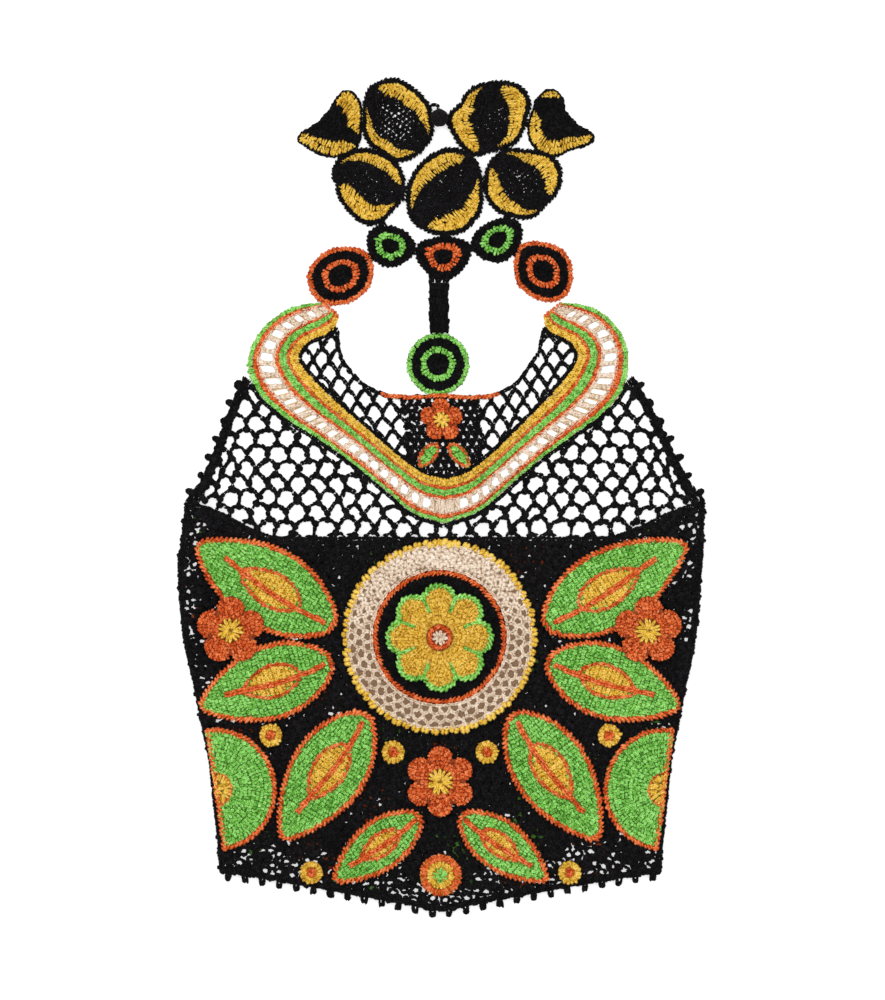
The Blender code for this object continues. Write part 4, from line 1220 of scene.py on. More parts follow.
for name, leaf in leaves.items():
    for side, turn_over in LEFT_RIGHT:
        green = make_leaf(f"leaf_{name}_{side}", leaf, turn_over)
    print("leaf", name, "has", len(green.data.polygons), "faces of green yarn")

# %% [markdown]
# ## Side fans
# A half-round fan sits on each side fold, worked in arcs round a yellow heart.

# %% Fans
FAN_SHARES, FAN_HEART, FAN_RIM = np.linspace(0.27, 0.93, 11), ((0.02, 0.14), (0.14, 0.26)), 0.965
FAN_HEART_EDGING = (3.0 * MM, 4.0 * MM, 2.8 * MM, 2.6 * MM, MOTIF_LIFT, EDGE_SLANT)
FAN_HEART_LIFT, FOLD_IN = MOTIF_LIFT + 0.2 * MM, 1.2 * MM

for side, turn_over in LEFT_RIGHT:
    node = "side_fan_" + side
    rise = on_ground()
    arcs = [row_between(fan_arc(low), fan_arc(high), *MOTIF_POST)
            for low, high in zip(FAN_SHARES, FAN_SHARES[1:])]
    green = lay(node + "_rows", post, turn_over(np.vstack(arcs)), GREEN, rise)
    heart = [row_between(fan_arc(low), fan_arc(high), YARN_PITCH, MOTIF_THICK, FAN_HEART_LIFT)
             for low, high in FAN_HEART]
    heart = lay(node + "_heart", post, turn_over(np.vstack(heart)), YELLOW, rise)
    fold = fan_spot([(FOLD_IN, FAN_RADIUS), (FOLD_IN, -FAN_RADIUS)])
    rim = [along_line(fan_arc(FAN_RIM), *EDGING),
           along_line(fan_arc(FAN_SHARES[0]), *FAN_HEART_EDGING),
           along_line(fold, *EDGING)]
    rim = lay(node + "_edging", chain, turn_over(np.vstack(rim)), ORANGE, rise)
    base = core(node, GREEN, rise)
print("fan rows:", len(FAN_SHARES) - 1)

# %% [markdown]
# ## The roundel and its daisy
# The medallion has an outer round of yellow bobbles, a cream net bent into a ring over a thin sheet in a
# darker cream as painted shade, an orange and a black round, and a layered eight-petalled daisy in its
# middle.

# %% Roundel
CREAM_FROM, CREAM_TO, CREAM_MIDDLE = 0.0505, 0.0690, 0.0600
BOBBLE_COUNT, SCALLOP_DEPTH, BOBBLE_AT = 60, 0.030, 0.965
BOBBLE = (6.2 * MM, 7.4 * MM, 3.4 * MM, 1.5 * MM, 1.30)
CREAM_LINK = (2.6 * MM, 4.3 * MM, 3.3 * MM, 2.1 * MM, MOTIF_LIFT)
CREAM_RIM = (2.8 * MM, 4.3 * MM, 2.9 * MM, 2.1 * MM, MOTIF_LIFT)
ORANGE_AT, ORANGE_ROUND = 0.0483, (3.3 * MM, 5.6 * MM, 3.5 * MM, 2.8 * MM, MOTIF_LIFT, EDGE_SLANT)
BLACK_AT, BLACK_SHARES, BLACK_PITCH = 0.0460, (0.78, 0.89, 1.0), 2.7 * MM

roundel_rise = on_ground()
edge = petal_edge(ROUNDEL_SCALLOPS, SCALLOP_DEPTH)
bobble_line = ring(ROUNDEL_CENTER, ROUNDEL_RADIUS, BOBBLE_AT, edge)
bobbles = along_line(bobble_line, line_length(bobble_line) / BOBBLE_COUNT, *BOBBLE)
roundel_bobbles = lay("roundel_bobbles", chain, bobbles, YELLOW, roundel_rise)

CREAM_COLUMNS, CREAM_SLIM, CREAM_FIRM, CREAM_UP = 46, 0.84, 1.60, 0.1
UNDER_HEIGHT, UNDER_THICK = 1.15 * MM, 0.25 * MM
cream_wide = 2 * math.pi * CREAM_MIDDLE / CREAM_COLUMNS


def bend(line):
    """From a straight strip of net to the ring."""
    line = np.asarray(line, float)
    angle = line[:, 0] / CREAM_MIDDLE
    return np.column_stack([ROUNDEL_CENTER[0] + line[:, 1] * np.cos(angle),
                            ROUNDEL_CENTER[1] + line[:, 1] * np.sin(angle)])


CREAM_NET = (cream_wide, 0.0058, (0, 3), (0, CREAM_COLUMNS), 0.0538, 0.0014, 0.0004)
arches, uprights, _ = arch_net(*CREAM_NET)
cream = strand_marks([bend(line) for line in arches + uprights], *CREAM_LINK)
far = np.hypot(cream[:, 0] - ROUNDEL_CENTER[0], cream[:, 1] - ROUNDEL_CENTER[1])
cream = cream[(far > CREAM_FROM) & (far < CREAM_TO)]
upper = np.clip((cream[:, 1] - ROUNDEL_CENTER[1]) / CREAM_TO + CREAM_UP, 0.0, 1.0)
cream[:, 4] *= CREAM_SLIM + CREAM_FIRM * upper
cream_rims = [along_line(ring(ROUNDEL_CENTER, radius, 1.0), *CREAM_RIM)
              for radius in (CREAM_FROM + 0.8 * MM, CREAM_TO - 0.6 * MM)]
roundel_cream = lay("roundel_cream_net", chain, np.vstack([cream] + cream_rims), CREAM, roundel_rise)
# Painted shade under the cream net: a thin ring in the darker core cream, seen through the net's holes.
ring_shape = flat_ring(CREAM_FROM, CREAM_TO, ROUND_STEPS)
for vert in ring_shape.verts:
    spot_x, spot_y = vert.co.x + ROUNDEL_CENTER[0], vert.co.y + ROUNDEL_CENTER[1]
    vert.co = (*drift(spot_x, spot_y), float(roundel_rise(spot_x, spot_y)) + UNDER_HEIGHT)
bmesh.ops.recalc_face_normals(ring_shape, faces=ring_shape.faces)
bmesh.ops.solidify(ring_shape, geom=ring_shape.faces[:], thickness=UNDER_THICK)
bmesh.ops.recalc_face_normals(ring_shape, faces=ring_shape.faces)
roundel_shade_sheet = dress(finished("roundel_cream_under", ring_shape), shade_cores[CREAM])
orange_marks = along_line(ring(ROUNDEL_CENTER, ORANGE_AT, 1.0), *ORANGE_ROUND)
roundel_orange = lay("roundel_orange_round", chain, orange_marks, ORANGE, roundel_rise)
black_marks = rounds(ROUNDEL_CENTER, BLACK_AT, BLACK_SHARES, BLACK_PITCH, MOTIF_THICK, MOTIF_LIFT)
roundel_black = lay("roundel_black_round", post, black_marks, BLACK, roundel_rise)
roundel_core = core("roundel", BLACK, roundel_rise)
print("cream links:", len(cream))

# %% Daisy
DAISY_RADIUS, DAISY_PETALS, DAISY_CENTER_RADIUS = 0.0400, 8, 0.0100
DAISY_NOTCH, NOTCH_CLEAR, NOTCH_FROM, NOTCH_SHARES = 0.22, 1.5 * MM, 0.020, (0.50, 0.78)
DAISY_SHARES, DAISY_RIM = np.linspace(0.24, 0.92, 9), 0.97
NOTCH_LINK = (2.9 * MM, 4.2 * MM, 2.9 * MM, 2.4 * MM, MOTIF_LIFT)
MIDDLE_AT, MIDDLE_RING = 0.0078, (2.9 * MM, 5.4 * MM, 3.2 * MM, 2.8 * MM, 1.3 * MM, EDGE_SLANT)
EYE_AT, EYE_SHARES, EYE_POST = 0.0056, (0.15, 1.0), (2.2 * MM, 2.2 * MM, 1.5 * MM)
PETALS_HIGH = 1.1 * MOTIF_WALL


def away_from_notches(marks, center, petals, turn, from_radius):
    """Leaves out the stitches that would bridge two petals."""
    x, y = marks[:, 0] - center[0], marks[:, 1] - center[1]
    radius, angle = np.hypot(x, y), np.arctan2(y, x)
    step = 2 * math.pi / petals
    off = (angle - turn) % step - step / 2
    return marks[(radius < from_radius) | (np.abs(off) * radius > NOTCH_CLEAR)]


def notch_lines(center, radius, petals, turn, low, high):
    angles = turn + 2 * math.pi / petals * (np.arange(petals) + 0.5)
    return [np.array([[center[0] + radius * low * math.cos(a), center[1] + radius * low * math.sin(a)],
                      [center[0] + radius * high * math.cos(a), center[1] + radius * high * math.sin(a)]])
            for a in angles]


daisy_rise = on_ground(MOTIF_WALL)
daisy_edge = petal_edge(DAISY_PETALS, DAISY_NOTCH)
yellow = rounds(ROUNDEL_CENTER, DAISY_RADIUS, DAISY_SHARES, *MOTIF_POST, daisy_edge)
yellow = away_from_notches(yellow, ROUNDEL_CENTER, DAISY_PETALS, 0.0, NOTCH_FROM)
daisy_petals = lay("daisy_petals", post, yellow, YELLOW, daisy_rise)
daisy_rim = ring(ROUNDEL_CENTER, DAISY_RADIUS, DAISY_RIM, daisy_edge)
green = [along_line(daisy_rim, *EDGING)]
green += [along_line(line, *NOTCH_LINK)
          for line in notch_lines(ROUNDEL_CENTER, DAISY_RADIUS, DAISY_PETALS, 0.0, *NOTCH_SHARES)]
daisy_edging = lay("daisy_edging", chain, np.vstack(green), GREEN, daisy_rise)
daisy_core = core("daisy", YELLOW, daisy_rise)

middle_rise = on_ground(MOTIF_WALL, PETALS_HIGH)
middle_ring = along_line(ring(ROUNDEL_CENTER, MIDDLE_AT, 1.0), *MIDDLE_RING)
daisy_middle_ring = lay("daisy_middle_ring", chain, middle_ring, ORANGE, middle_rise)
eye_marks = rounds(ROUNDEL_CENTER, EYE_AT, EYE_SHARES, *EYE_POST)
daisy_middle_eye = lay("daisy_middle_eye", post, eye_marks, CREAM, middle_rise)
daisy_middle_core = core("daisy_center", ORANGE, middle_rise)
print("daisy stitches:", len(yellow))

# %% [markdown]
# ## Flowers and rosettes
# Small motifs are worked in rounds from the middle out: yellow heart, orange petals.  The small rosettes
# are the other way about, and the one at the hem is green, yellow and orange.

# %% Flowers
FLOWER_FROM, FLOWER_TO, FLOWER_NOTCH, FLOWER_ROW = 0.34, 0.97, 0.30, 3.5 * MM
FLOWER_HEART = ((0.04, 0.36), 2.3 * MM, 2.4 * MM, MOTIF_LIFT + 0.6 * MM)
PETALS_FROM = 0.55

for name, x, y, radius, petals, under in FLOWERS:
    center, turn = (x, y), math.pi / 2
    rise = on_ground(*[MOTIF_WALL] * under)
    outline = petal_edge(petals, FLOWER_NOTCH, turn)
    row_count = max(3, round(radius * (FLOWER_TO - FLOWER_FROM) / FLOWER_ROW) + 1)
    shares = np.linspace(FLOWER_FROM, FLOWER_TO, row_count)
    orange = rounds(center, radius, shares, *MOTIF_POST, outline)
    orange = away_from_notches(orange, center, petals, turn, radius * PETALS_FROM)
    orange = lay(name + "_petals", post, orange, ORANGE, rise)
    heart = lay(name + "_heart", post, rounds(center, radius, *FLOWER_HEART), YELLOW, rise)
    base = core(name, ORANGE, rise)
    lies_on = "front_ground_net" if under == 0 else "leaf_upper_" + name.split("_")[-1] + "_core"
    if name == "neck_flower":
        lies_on = "neck_net_chains"
print("flowers:", len(FLOWERS))

# %% Rosettes and the leaves at the neck
ROSETTE_ROUND = ((0.42, 1.0), 2.5 * MM, 2.4 * MM, MOTIF_LIFT)
ROSETTE_HEART = ((0.05, 0.48), 2.2 * MM, 2.4 * MM, MOTIF_LIFT + 0.5 * MM)
HEM_ROUNDS = (("heart", GREEN, 0.05, 0.36), ("round", YELLOW, 0.36, 0.66), ("rim", ORANGE, 0.66, 1.0))
HEM_THICK = 2.3 * MM
NECK_ROWS, NECK_EDGE_IN = (2.4 * MM, 4.6 * MM, 2.3 * MM, MOTIF_THICK, MOTIF_LIFT), 1.3 * MM
NECK_EDGING = (2.8 * MM, 3.8 * MM, 2.8 * MM, 2.5 * MM, MOTIF_LIFT, EDGE_SLANT)

spots = list(ROSETTES) + [(-x, y) for x, y in ROSETTES]
for number, spot in enumerate(spots, start=1):
    name = f"rosette_{number}"
    rise = on_ground()
    outer = lay(name + "_round", post, rounds(spot, ROSETTE_RADIUS, *ROSETTE_ROUND), YELLOW, rise)
    heart = lay(name + "_heart", post, rounds(spot, ROSETTE_RADIUS, *ROSETTE_HEART), ORANGE, rise)
    base = core(name, YELLOW, rise)

rise = on_ground()
for title, slot, low, high in HEM_ROUNDS:
    marks = rounds(HEM_ROSETTE, HEM_ROSETTE_RADIUS, (low, high), YARN_PITCH, HEM_THICK, MOTIF_LIFT)
    lay("hem_rosette_" + title, post, marks, slot, rise)
base = core("hem_rosette", YELLOW, rise)

for side, turn_over in LEFT_RIGHT:
    node = "neck_leaf_" + side
    rows = turn_over(neck_leaf.rows(*NECK_ROWS))
    green = lay(node + "_rows", post, rows, GREEN, on_ground())
    rim = turn_over(along_line(closed(neck_leaf.outline(NECK_EDGE_IN)), *NECK_EDGING))
    rim = lay(node + "_edging", chain, rim, ORANGE, on_ground())
    base = core(node, GREEN, on_ground())
print("rosettes:", len(spots) + 1)

# %% [markdown]
# ## The outlines of the collar's pieces
# No disc or petal is a true circle.  Each is described by its middle and by how far its edge lies from
# there at equal steps of angle.  Lines are drawn on a unit circle first and then reach out to the edge.

# %% Outlines by reach
class Round:
    """A round piece: its middle, how far its edge reaches in mm, and where its own X axis points."""

    def __init__(self, x, y, reaches, turn=0.0):
        self.x, self.y, self.reaches, self.turn = x, y, MM * np.array(reaches), math.radians(turn)

    def reach(self, angle):
        count = len(self.reaches)
        spot = np.asarray(angle, float) / (2 * math.pi) * count % count
        step = spot.astype(int)
        part = spot - step
        before, here, after, beyond = (self.reaches[(step + move) % count] for move in (-1, 0, 1, 2))
        bend = 2 * before - 5 * here + 4 * after - beyond
        bend = bend + part * (3 * (here - after) + beyond - before)
        return here + 0.5 * part * (after - before + part * bend)

    def share(self, x, y):
        """How far out a spot is: 0 in the middle, 1 at the edge."""
        off_x, off_y = x - self.x, y - self.y
        return np.hypot(off_x, off_y) / self.reach(np.arctan2(off_y, off_x))

    def spot(self, own):
        own = np.asarray(own, float)
        angle = np.arctan2(own[:, 1], own[:, 0]) + self.turn
        far = np.hypot(own[:, 0], own[:, 1]) * self.reach(angle)
        return np.column_stack([self.x + far * np.cos(angle), self.y + far * np.sin(angle)])

    def line(self, share, start=0.0, end=360.0):
        """A line round the piece at this share of its reach, between two angles in degrees."""
        angle = np.radians(np.linspace(start, end, ROUND_STEPS + 1)) - self.turn
        return self.spot(np.column_stack([share * np.cos(angle), share * np.sin(angle)]))

    def size(self):
        edge = self.line(1.0)
        return tuple(float(side) for side in edge.max(axis=0) - edge.min(axis=0))


def ragged(marks, share):
    """Makes the stitches of a row unequal in length."""
    marks[:, 3] *= 1.0 + share * chance.uniform(-1.0, 1.0, len(marks))
    return marks


print("a test round is", round(1000 * Round(0, 0, (20.0,) * 16).size()[0], 1), "mm wide")

# %% [markdown]
# ## Ring discs
# The neckline and the collar are joined by discs worked in rounds of two colours.  Their posts reach
# unevenly over the next round, which gives the ragged rings of real crochet.

# %% Discs
DISCS = (
    ("neck_disc", -0.0060, 0.1004, (23.2,) * 16),
    ("collar_disc_center", -0.0020, 0.1811,
     (20.0, 21.7, 18.2, 15.5, 14.7, 15.3, 17.4, 21.5, 20.3, 18.0, 17.5, 17.2, 16.7, 17.1, 17.3, 17.9)),
    ("collar_disc_small_left", -0.0420, 0.1890,
     (19.3, 16.9, 15.4, 14.8, 14.6, 15.9, 18.3, 18.1, 16.9, 16.2, 15.9, 15.6, 15.8, 15.8, 16.6, 18.3)),
    ("collar_disc_small_right", 0.0387, 0.1935,
     (17.4, 19.9, 20.8, 17.5, 15.8, 14.7, 15.2, 16.5, 19.4, 19.8, 18.4, 17.1, 17.1, 16.5, 15.7, 15.9)),
    ("collar_disc_large_left", -0.0789, 0.1667,
     (24.2, 25.8, 26.0, 22.8, 21.1, 21.1, 21.4, 23.1, 25.2, 25.3, 25.5, 23.7, 21.8, 21.1, 21.4, 23.0)),
    ("collar_disc_large_right", 0.0729, 0.1701,
     (21.7, 21.6, 21.5, 21.0, 21.5, 24.3, 26.0, 23.4, 21.8, 21.7, 20.7, 21.1, 22.6, 24.5, 25.4, 23.3)),
)


def disc_rings(accent, edge, accent_to=0.66):
    """The rounds of a disc, colour by colour: slot, from, to, how ragged."""
    return ((BLACK, 0.04, 0.20, 0.1), (BLACK, 0.18, 0.36, 0.1), (BLACK, 0.56, 0.74, 0.2),
            (BLACK, 0.70, 0.88, 0.2), (accent, 0.36, 0.50, 0.28), (accent, 0.46, accent_to, 0.40),
            (edge, 0.84, 0.94, 0.30))


DISC_RINGS = {
    "neck_disc": disc_rings(GREEN, GREEN, 0.57),
    "collar_disc_center": disc_rings(ORANGE, BLACK),
    "collar_disc_small_left": disc_rings(GREEN, BLACK),
    "collar_disc_small_right": disc_rings(GREEN, BLACK),
    "collar_disc_large_left": disc_rings(ORANGE, ORANGE, 0.57),
    "collar_disc_large_right": disc_rings(ORANGE, ORANGE, 0.57),
}
DISC_DOME, DISC_EDGE = 0.8 * MM, 0.95
DISC_SLIM, ACCENT_LIFT, ACCENT_ROUGH = 0.90, 0.35 * MM, 0.25
DISC_PITCH, DISC_THICK, DISC_LIFT, DISC_REACH = 2.4 * MM, 2.0 * MM, 1.1 * MM, 1.2
DISC_EDGING = (3.2 * MM, 4.4 * MM, 3.3 * MM, 2.3 * MM, 1.2 * MM, EDGE_SLANT)

outlines = {}
for node, *sizes in DISCS:
    shape = outlines[node] = Round(*sizes)

    def dome(px, py):
        return DISC_DOME * np.clip(1.0 - shape.share(px, py) ** 2, 0.0, 1.0)

    parts = {}
    for slot, low, high, rough in DISC_RINGS[node]:
        lift = DISC_LIFT + (ACCENT_LIFT if rough > ACCENT_ROUGH else 0.0)
        marks = row_between(shape.line(low), shape.line(high), DISC_PITCH, DISC_THICK, lift, DISC_REACH)
        if rough > ACCENT_ROUGH:
            marks[:, 4] *= DISC_SLIM
        parts.setdefault(slot, []).append(ragged(marks, rough))
    parts[slot].append(along_line(shape.line(DISC_EDGE), *DISC_EDGING))
    made = [lay(f"{node}_{slot.split('_')[0]}", post, np.vstack(rows), slot, dome, straight)
            for slot, rows in parts.items()]
    base = core(node, BLACK, on_table, place_back=False)
    shape.size()
print("discs:", len(DISCS))

# %% Strap
STRAP_TOP, STRAP_FOOT, STRAP_WIDTH = (-0.0056, 0.1662), (-0.0052, 0.1236), 0.0140
STRAP_ROWS, STRAP_EDGES = 8, (-0.43, 0.43)
STRAP_POST = (2.8 * MM, 2.0 * MM, 1.15 * MM)
STRAP_LINK = (2.9 * MM, 4.3 * MM, 2.6 * MM, 2.3 * MM, 1.2 * MM)

strap_marks = []
strap_top, strap_foot = np.array(STRAP_TOP), np.array(STRAP_FOOT)
for row in range(STRAP_ROWS):
    low = strap_foot + (strap_top - strap_foot) * (row / STRAP_ROWS)
    high = strap_foot + (strap_top - strap_foot) * ((row + 1) / STRAP_ROWS)
    half = np.array([STRAP_WIDTH / 2, 0.0])
    strap_marks.append(row_between([low - half, low + half], [high - half, high + half], *STRAP_POST))
for share in STRAP_EDGES:
    beside = np.array([STRAP_WIDTH * share, 0.0])
    strap_marks.append(along_line([strap_foot + beside, strap_top + beside], *STRAP_LINK))
strap_rows = lay("strap_rows", post, np.vstack(strap_marks), BLACK, on_table, straight)
strap_core = core("strap", BLACK, on_table, place_back=False)
print("strap stitches:", sum(len(marks) for marks in strap_marks))

# %% [markdown]
# ## Cupped petals of the collar
# Each petal is an oval cup: a black eye worked loosely along its long axis, two yellow crescents of tall
# stitches beside it, and a black rim that lifts off the table.  The eye has no core, so the light comes
# through its small holes.

# %% Cupped petals
PETALS = (
    ("collar_petal_front_left", -0.0576, 0.2344, 0.0004, 0.0036,
     (27.2, 27.2, 26.2, 26.0, 26.9, 28.5, 29.9, 30.4, 24.9, 25.0, 25.1, 27.1, 30.1, 28.9, 26.1, 27.9)),
    ("collar_petal_front_center", -0.0003, 0.2283, 0.0004, 0.0050,
     (28.2, 29.7, 33.6, 34.7, 33.3, 30.8, 29.1, 29.0, 29.1, 31.5, 33.2, 32.2, 32.3, 32.0, 30.7, 29.9)),
    ("collar_petal_front_right", 0.0568, 0.2364, 0.0004, 0.0040,
     (30.1, 31.4, 29.4, 25.3, 24.3, 27.1, 28.6, 28.8, 28.7, 29.6, 28.9, 26.8, 27.5, 27.5, 25.1, 27.0)),
    ("collar_petal_back_left", -0.0368, 0.2829, 0.0002, 0.0050,
     (26.8, 26.9, 26.3, 27.6, 30.6, 32.0, 31.2, 27.5, 25.6, 27.0, 27.8, 27.2, 31.5, 30.6, 29.6, 29.3)),
    ("collar_petal_back_right", 0.0330, 0.2847, 0.0002, 0.0050,
     (27.7, 33.1, 33.2, 29.5, 26.4, 26.2, 26.0, 25.3, 32.5, 31.2, 31.1, 31.2, 25.8, 25.0, 27.2, 27.4)),
)
EYES = {
    # node: lie of the eye, how wide the two crescents are, which end is fuller, how firm the eye is
    "collar_petal_front_left": (-17.0, 0.30, 0.45, 0.45, 1.15),
    "collar_petal_front_center": (45.0, 0.36, 0.36, 0.5, 1.45),
    "collar_petal_front_right": (-42.0, 0.34, 0.34, 0.5, 1.15),
    "collar_petal_back_left": (-42.0, 0.37, 0.25, -0.35, 1.0),
    "collar_petal_back_right": (-94.0, 0.37, 0.38, -0.5, 1.25),
}
PETAL_FLAT = 0.42
CRESCENT_TO, CRESCENT_END, CRESCENT_STOP = 0.88, 0.84, 0.985
LENS_POINTS, CRESCENT_POINTS = 41, 61
CRESCENT_ROWS, CRESCENT_FULL, TIP_SLIM = ((0.68, 0.98), (0.38, 0.72)), 1.14, 0.86
CRESCENT_POST, TIP_SHARES = (YARN_PITCH, 2.0 * MM, 1.4 * MM), (-0.06, 0.44)
TIP_POST, TIP_REACH = (2.0 * MM, 1.9 * MM, 1.5 * MM), 1.1
EYE_ROWS, EYE_FIRM, EYE_FIRM_FROM, EYE_UNEVEN, CRESCENT_RAGGED = 10, 1.2, 0.35, 0.30, 0.42
EYE_ALONG = (2.9 * MM, 4.4 * MM, 2.6 * MM, 2.0 * MM, 1.0 * MM)
EYE_ACROSS = (3.6 * MM, 1.9 * MM, 1.0 * MM)
EYE_WIDE, RIM_AT, RIM_SHARES, RIM_REACH = 3.0 * MM, 0.955, (0.85, 0.97), 1.1
RIM_LINK = (3.0 * MM, 5.0 * MM, 3.4 * MM, 2.4 * MM, 1.1 * MM, 0.7)
RIM_ROW = (3.1 * MM, 2.0 * MM, 1.3 * MM)
CORE_REACH, CORE_RIM, CORE_BLUNT, CUP_STEPS = 0.80, 0.95, 3.0, 36
CUP_LIFT, CUP_THICK = 0.3 * MM, 0.7 * MM


class Cup(Round):
    """The surface of one cupped petal, and lines drawn on it in its own axes."""

    def __init__(self, x, y, rim_near, rim_far, reaches, turn, above, below, fuller, firm):
        super().__init__(x, y, reaches, turn)
        self.near, self.far, self.wide = rim_near, rim_far, {1: above, -1: below}
        self.fuller, self.firm = fuller, firm

    def rise(self, x, y):
        off_x, off_y = x - self.x, y - self.y
        toward = off_y / np.maximum(np.hypot(off_x, off_y), 1e-9)
        rim = self.near + (self.far - self.near) * (0.5 + 0.5 * toward)
        return rim * ease((self.share(x, y) - PETAL_FLAT) / (1.0 - PETAL_FLAT))

    def eye_edge(self, along, sign):
        """Half width of the black eye on one side, and of the rim: between them lies a crescent."""
        rim = CRESCENT_TO * np.sqrt(np.clip(1.0 - (along / CRESCENT_TO) ** 2, 0.0, 1.0))
        fade = np.clip(1.0 - np.abs(along / CRESCENT_END) ** 4, 0.0, 1.0) ** 0.8
        return rim - self.wide[sign] * fade * (1.0 + self.fuller * sign * along), rim

    def lens(self, share):
        """A line along the eye; share runs from -1 to 1 across it."""
        along = np.linspace(-CRESCENT_END, CRESCENT_END, LENS_POINTS)
        above, below = self.eye_edge(along, 1)[0], -self.eye_edge(along, -1)[0]
        return self.spot(np.column_stack([along, (above * (1 + share) + below * (1 - share)) / 2]))

    def crescent(self, sign, share):
        """From the eye's edge, share 0, to the rim, share 1."""
        along = np.linspace(-CRESCENT_END, CRESCENT_END, CRESCENT_POINTS) * CRESCENT_STOP
        eye, rim = self.eye_edge(along, sign)
        return self.spot(np.column_stack([along, sign * (eye * (1.0 - share) + rim * share)]))


def cup_core(node, cup):
    """The closed ring of cloth round the eye, in the darker core black as painted shade."""
    shape = flat_ring(0.5, 1.0, CUP_STEPS)
    for vert in shape.verts:
        angle = math.atan2(vert.co.y, vert.co.x)
        if vert.co.xy.length > 0.75:
            own = (CORE_RIM * math.cos(angle), CORE_RIM * math.sin(angle))
        else:
            along = CORE_REACH * math.cos(angle)
            sign = 1 if math.sin(angle) > 0 else -1
            ends = min(1.0, abs(math.sin(angle)) * CORE_BLUNT)
            own = (along, sign * ends * float(cup.eye_edge(np.array([along]), sign)[0][0]))
        x, y = cup.spot([own])[0]
        vert.co = (x + CENTER_X, y + CENTER_Y, float(cup.rise(x, y)) + CUP_LIFT)
    bmesh.ops.recalc_face_normals(shape, faces=shape.faces)
    if sum(face.normal.z for face in shape.faces) < 0:
        bmesh.ops.reverse_faces(shape, faces=shape.faces)
    bmesh.ops.solidify(shape, geom=shape.faces[:], thickness=-CUP_THICK)
    bmesh.ops.recalc_face_normals(shape, faces=shape.faces)
    return dress(finished(node + "_core", shape), shade_cores[BLACK], node)


def make_cup(node, cup):
    """The yarn of a cupped petal and its core; returns the core and the yarn."""
    low, high = (cup.line(share) for share in RIM_SHARES)
    rim = np.vstack([along_line(cup.line(RIM_AT), *RIM_LINK),
                     ragged(row_between(low, high, *RIM_ROW, RIM_REACH), CRESCENT_RAGGED)])
    shares = np.linspace(-1.0, 1.0, EYE_ROWS)
    eye = [along_line(cup.lens(share), *EYE_ALONG) for share in shares]
    for low, high in zip(shares, shares[1:]):
        across = row_between(cup.lens(low), cup.lens(high), *EYE_ACROSS)
        across[:, 4] = EYE_WIDE * (1.0 + EYE_UNEVEN * chance.uniform(-1.0, 1.0, len(across)))
        eye.append(across)
    eye = np.vstack(eye)
    out = np.clip(cup.share(eye[:, 0], eye[:, 1]) - EYE_FIRM_FROM, 0.0, 1.0)
    eye[:, 4] *= cup.firm * (1.0 + EYE_FIRM * out)
    yellow = []
    for sign in (-1, 1):
        for low, high in CRESCENT_ROWS:
            tall = row_between(cup.crescent(sign, low), cup.crescent(sign, high), *CRESCENT_POST)
            tall[:, 4] *= CRESCENT_FULL
            yellow.append(tall)
        low, high = (cup.crescent(sign, share) for share in TIP_SHARES)
        tips = row_between(low, high, *TIP_POST, TIP_REACH)
        tips[:, 4] *= TIP_SLIM
        yellow.append(ragged(tips, CRESCENT_RAGGED))
    black = lay(node + "_black", chain, np.vstack([rim, eye]), BLACK, cup.rise, straight)
    gold = lay(node + "_yellow", post, np.vstack(yellow), YELLOW, cup.rise, straight)
    return cup_core(node, cup), [black, gold]


for node, *sizes in PETALS:
    cup = outlines[node] = Cup(*sizes, *EYES[node])
    base, made = make_cup(node, cup)
    rim_line, eye_line = cup.line(CORE_RIM), np.vstack([cup.lens(-1.0), cup.lens(1.0)[::-1]])
    cup.size()
print("cupped petals:", len(PETALS))

# %% [markdown]
# ## Folded petals and the button
# The petals at the two ends of the collar are folded in half.  A small ball of black yarn at the back
# and a loop of chain beside it button the collar.

# %% Folded petals
FOLDED = (
    ("collar_petal_side_left", -0.0818, 0.2771,
     (18.2, 18.8, 21.0, 25.3, 28.9, 29.8, 22.9, 15.7, 13.6, 13.0, 13.4, 14.9, 20.4, 31.4, 27.1, 25.0,
      23.0, 22.1, 21.5, 21.1, 21.5, 21.2, 20.0, 18.6)),
    ("collar_petal_side_right", 0.0812, 0.2783,
     (18.7, 15.3, 13.7, 13.8, 14.9, 22.1, 28.2, 28.1, 25.2, 21.4, 19.9, 19.4, 19.6, 20.4, 21.1, 21.8,
      22.5, 22.9, 22.5, 21.8, 20.9, 22.7, 28.3, 31.5)),
)
FOLDED_THICK, FOLDED_FALL, FOLDED_SINK = 4.2 * MM, 0.45, 1.9 * MM
FOLDED_CORE = (0.93, 0.93, 0.70)
BANDS = {
    # node: angles at which a yellow band starts and ends, inner edge in its middle
    "collar_petal_side_left": ((-14.0, 92.0, 0.46), (190.0, 316.0, 0.50)),
    "collar_petal_side_right": ((142.0, 346.0, 0.52), (80.0, 112.0, 0.74)),
}
BAND_OUT, BAND_LEAST, BAND_SOFT, BAND_POWER = 0.92, 0.06, 22.0, 0.6
FOLDED_ROWS, FOLDED_POST = (0.03, 0.26, 0.50, 0.72, 0.92), (2.7 * MM, 2.0 * MM, 0.9 * MM)
FOLDED_EDGES = ((0.94, 3.0 * MM, 5.0 * MM, 3.4 * MM, 2.4 * MM, 0.9 * MM, 0.7),
                (0.96, 2.9 * MM, 4.4 * MM, 3.0 * MM, 2.2 * MM, 0.5 * MM))
BAND_POST = (YARN_PITCH, 2.1 * MM, 1.4 * MM)
BAND_TIPS, BAND_REACH = (2.0 * MM, 2.0 * MM, 1.5 * MM), 1.35


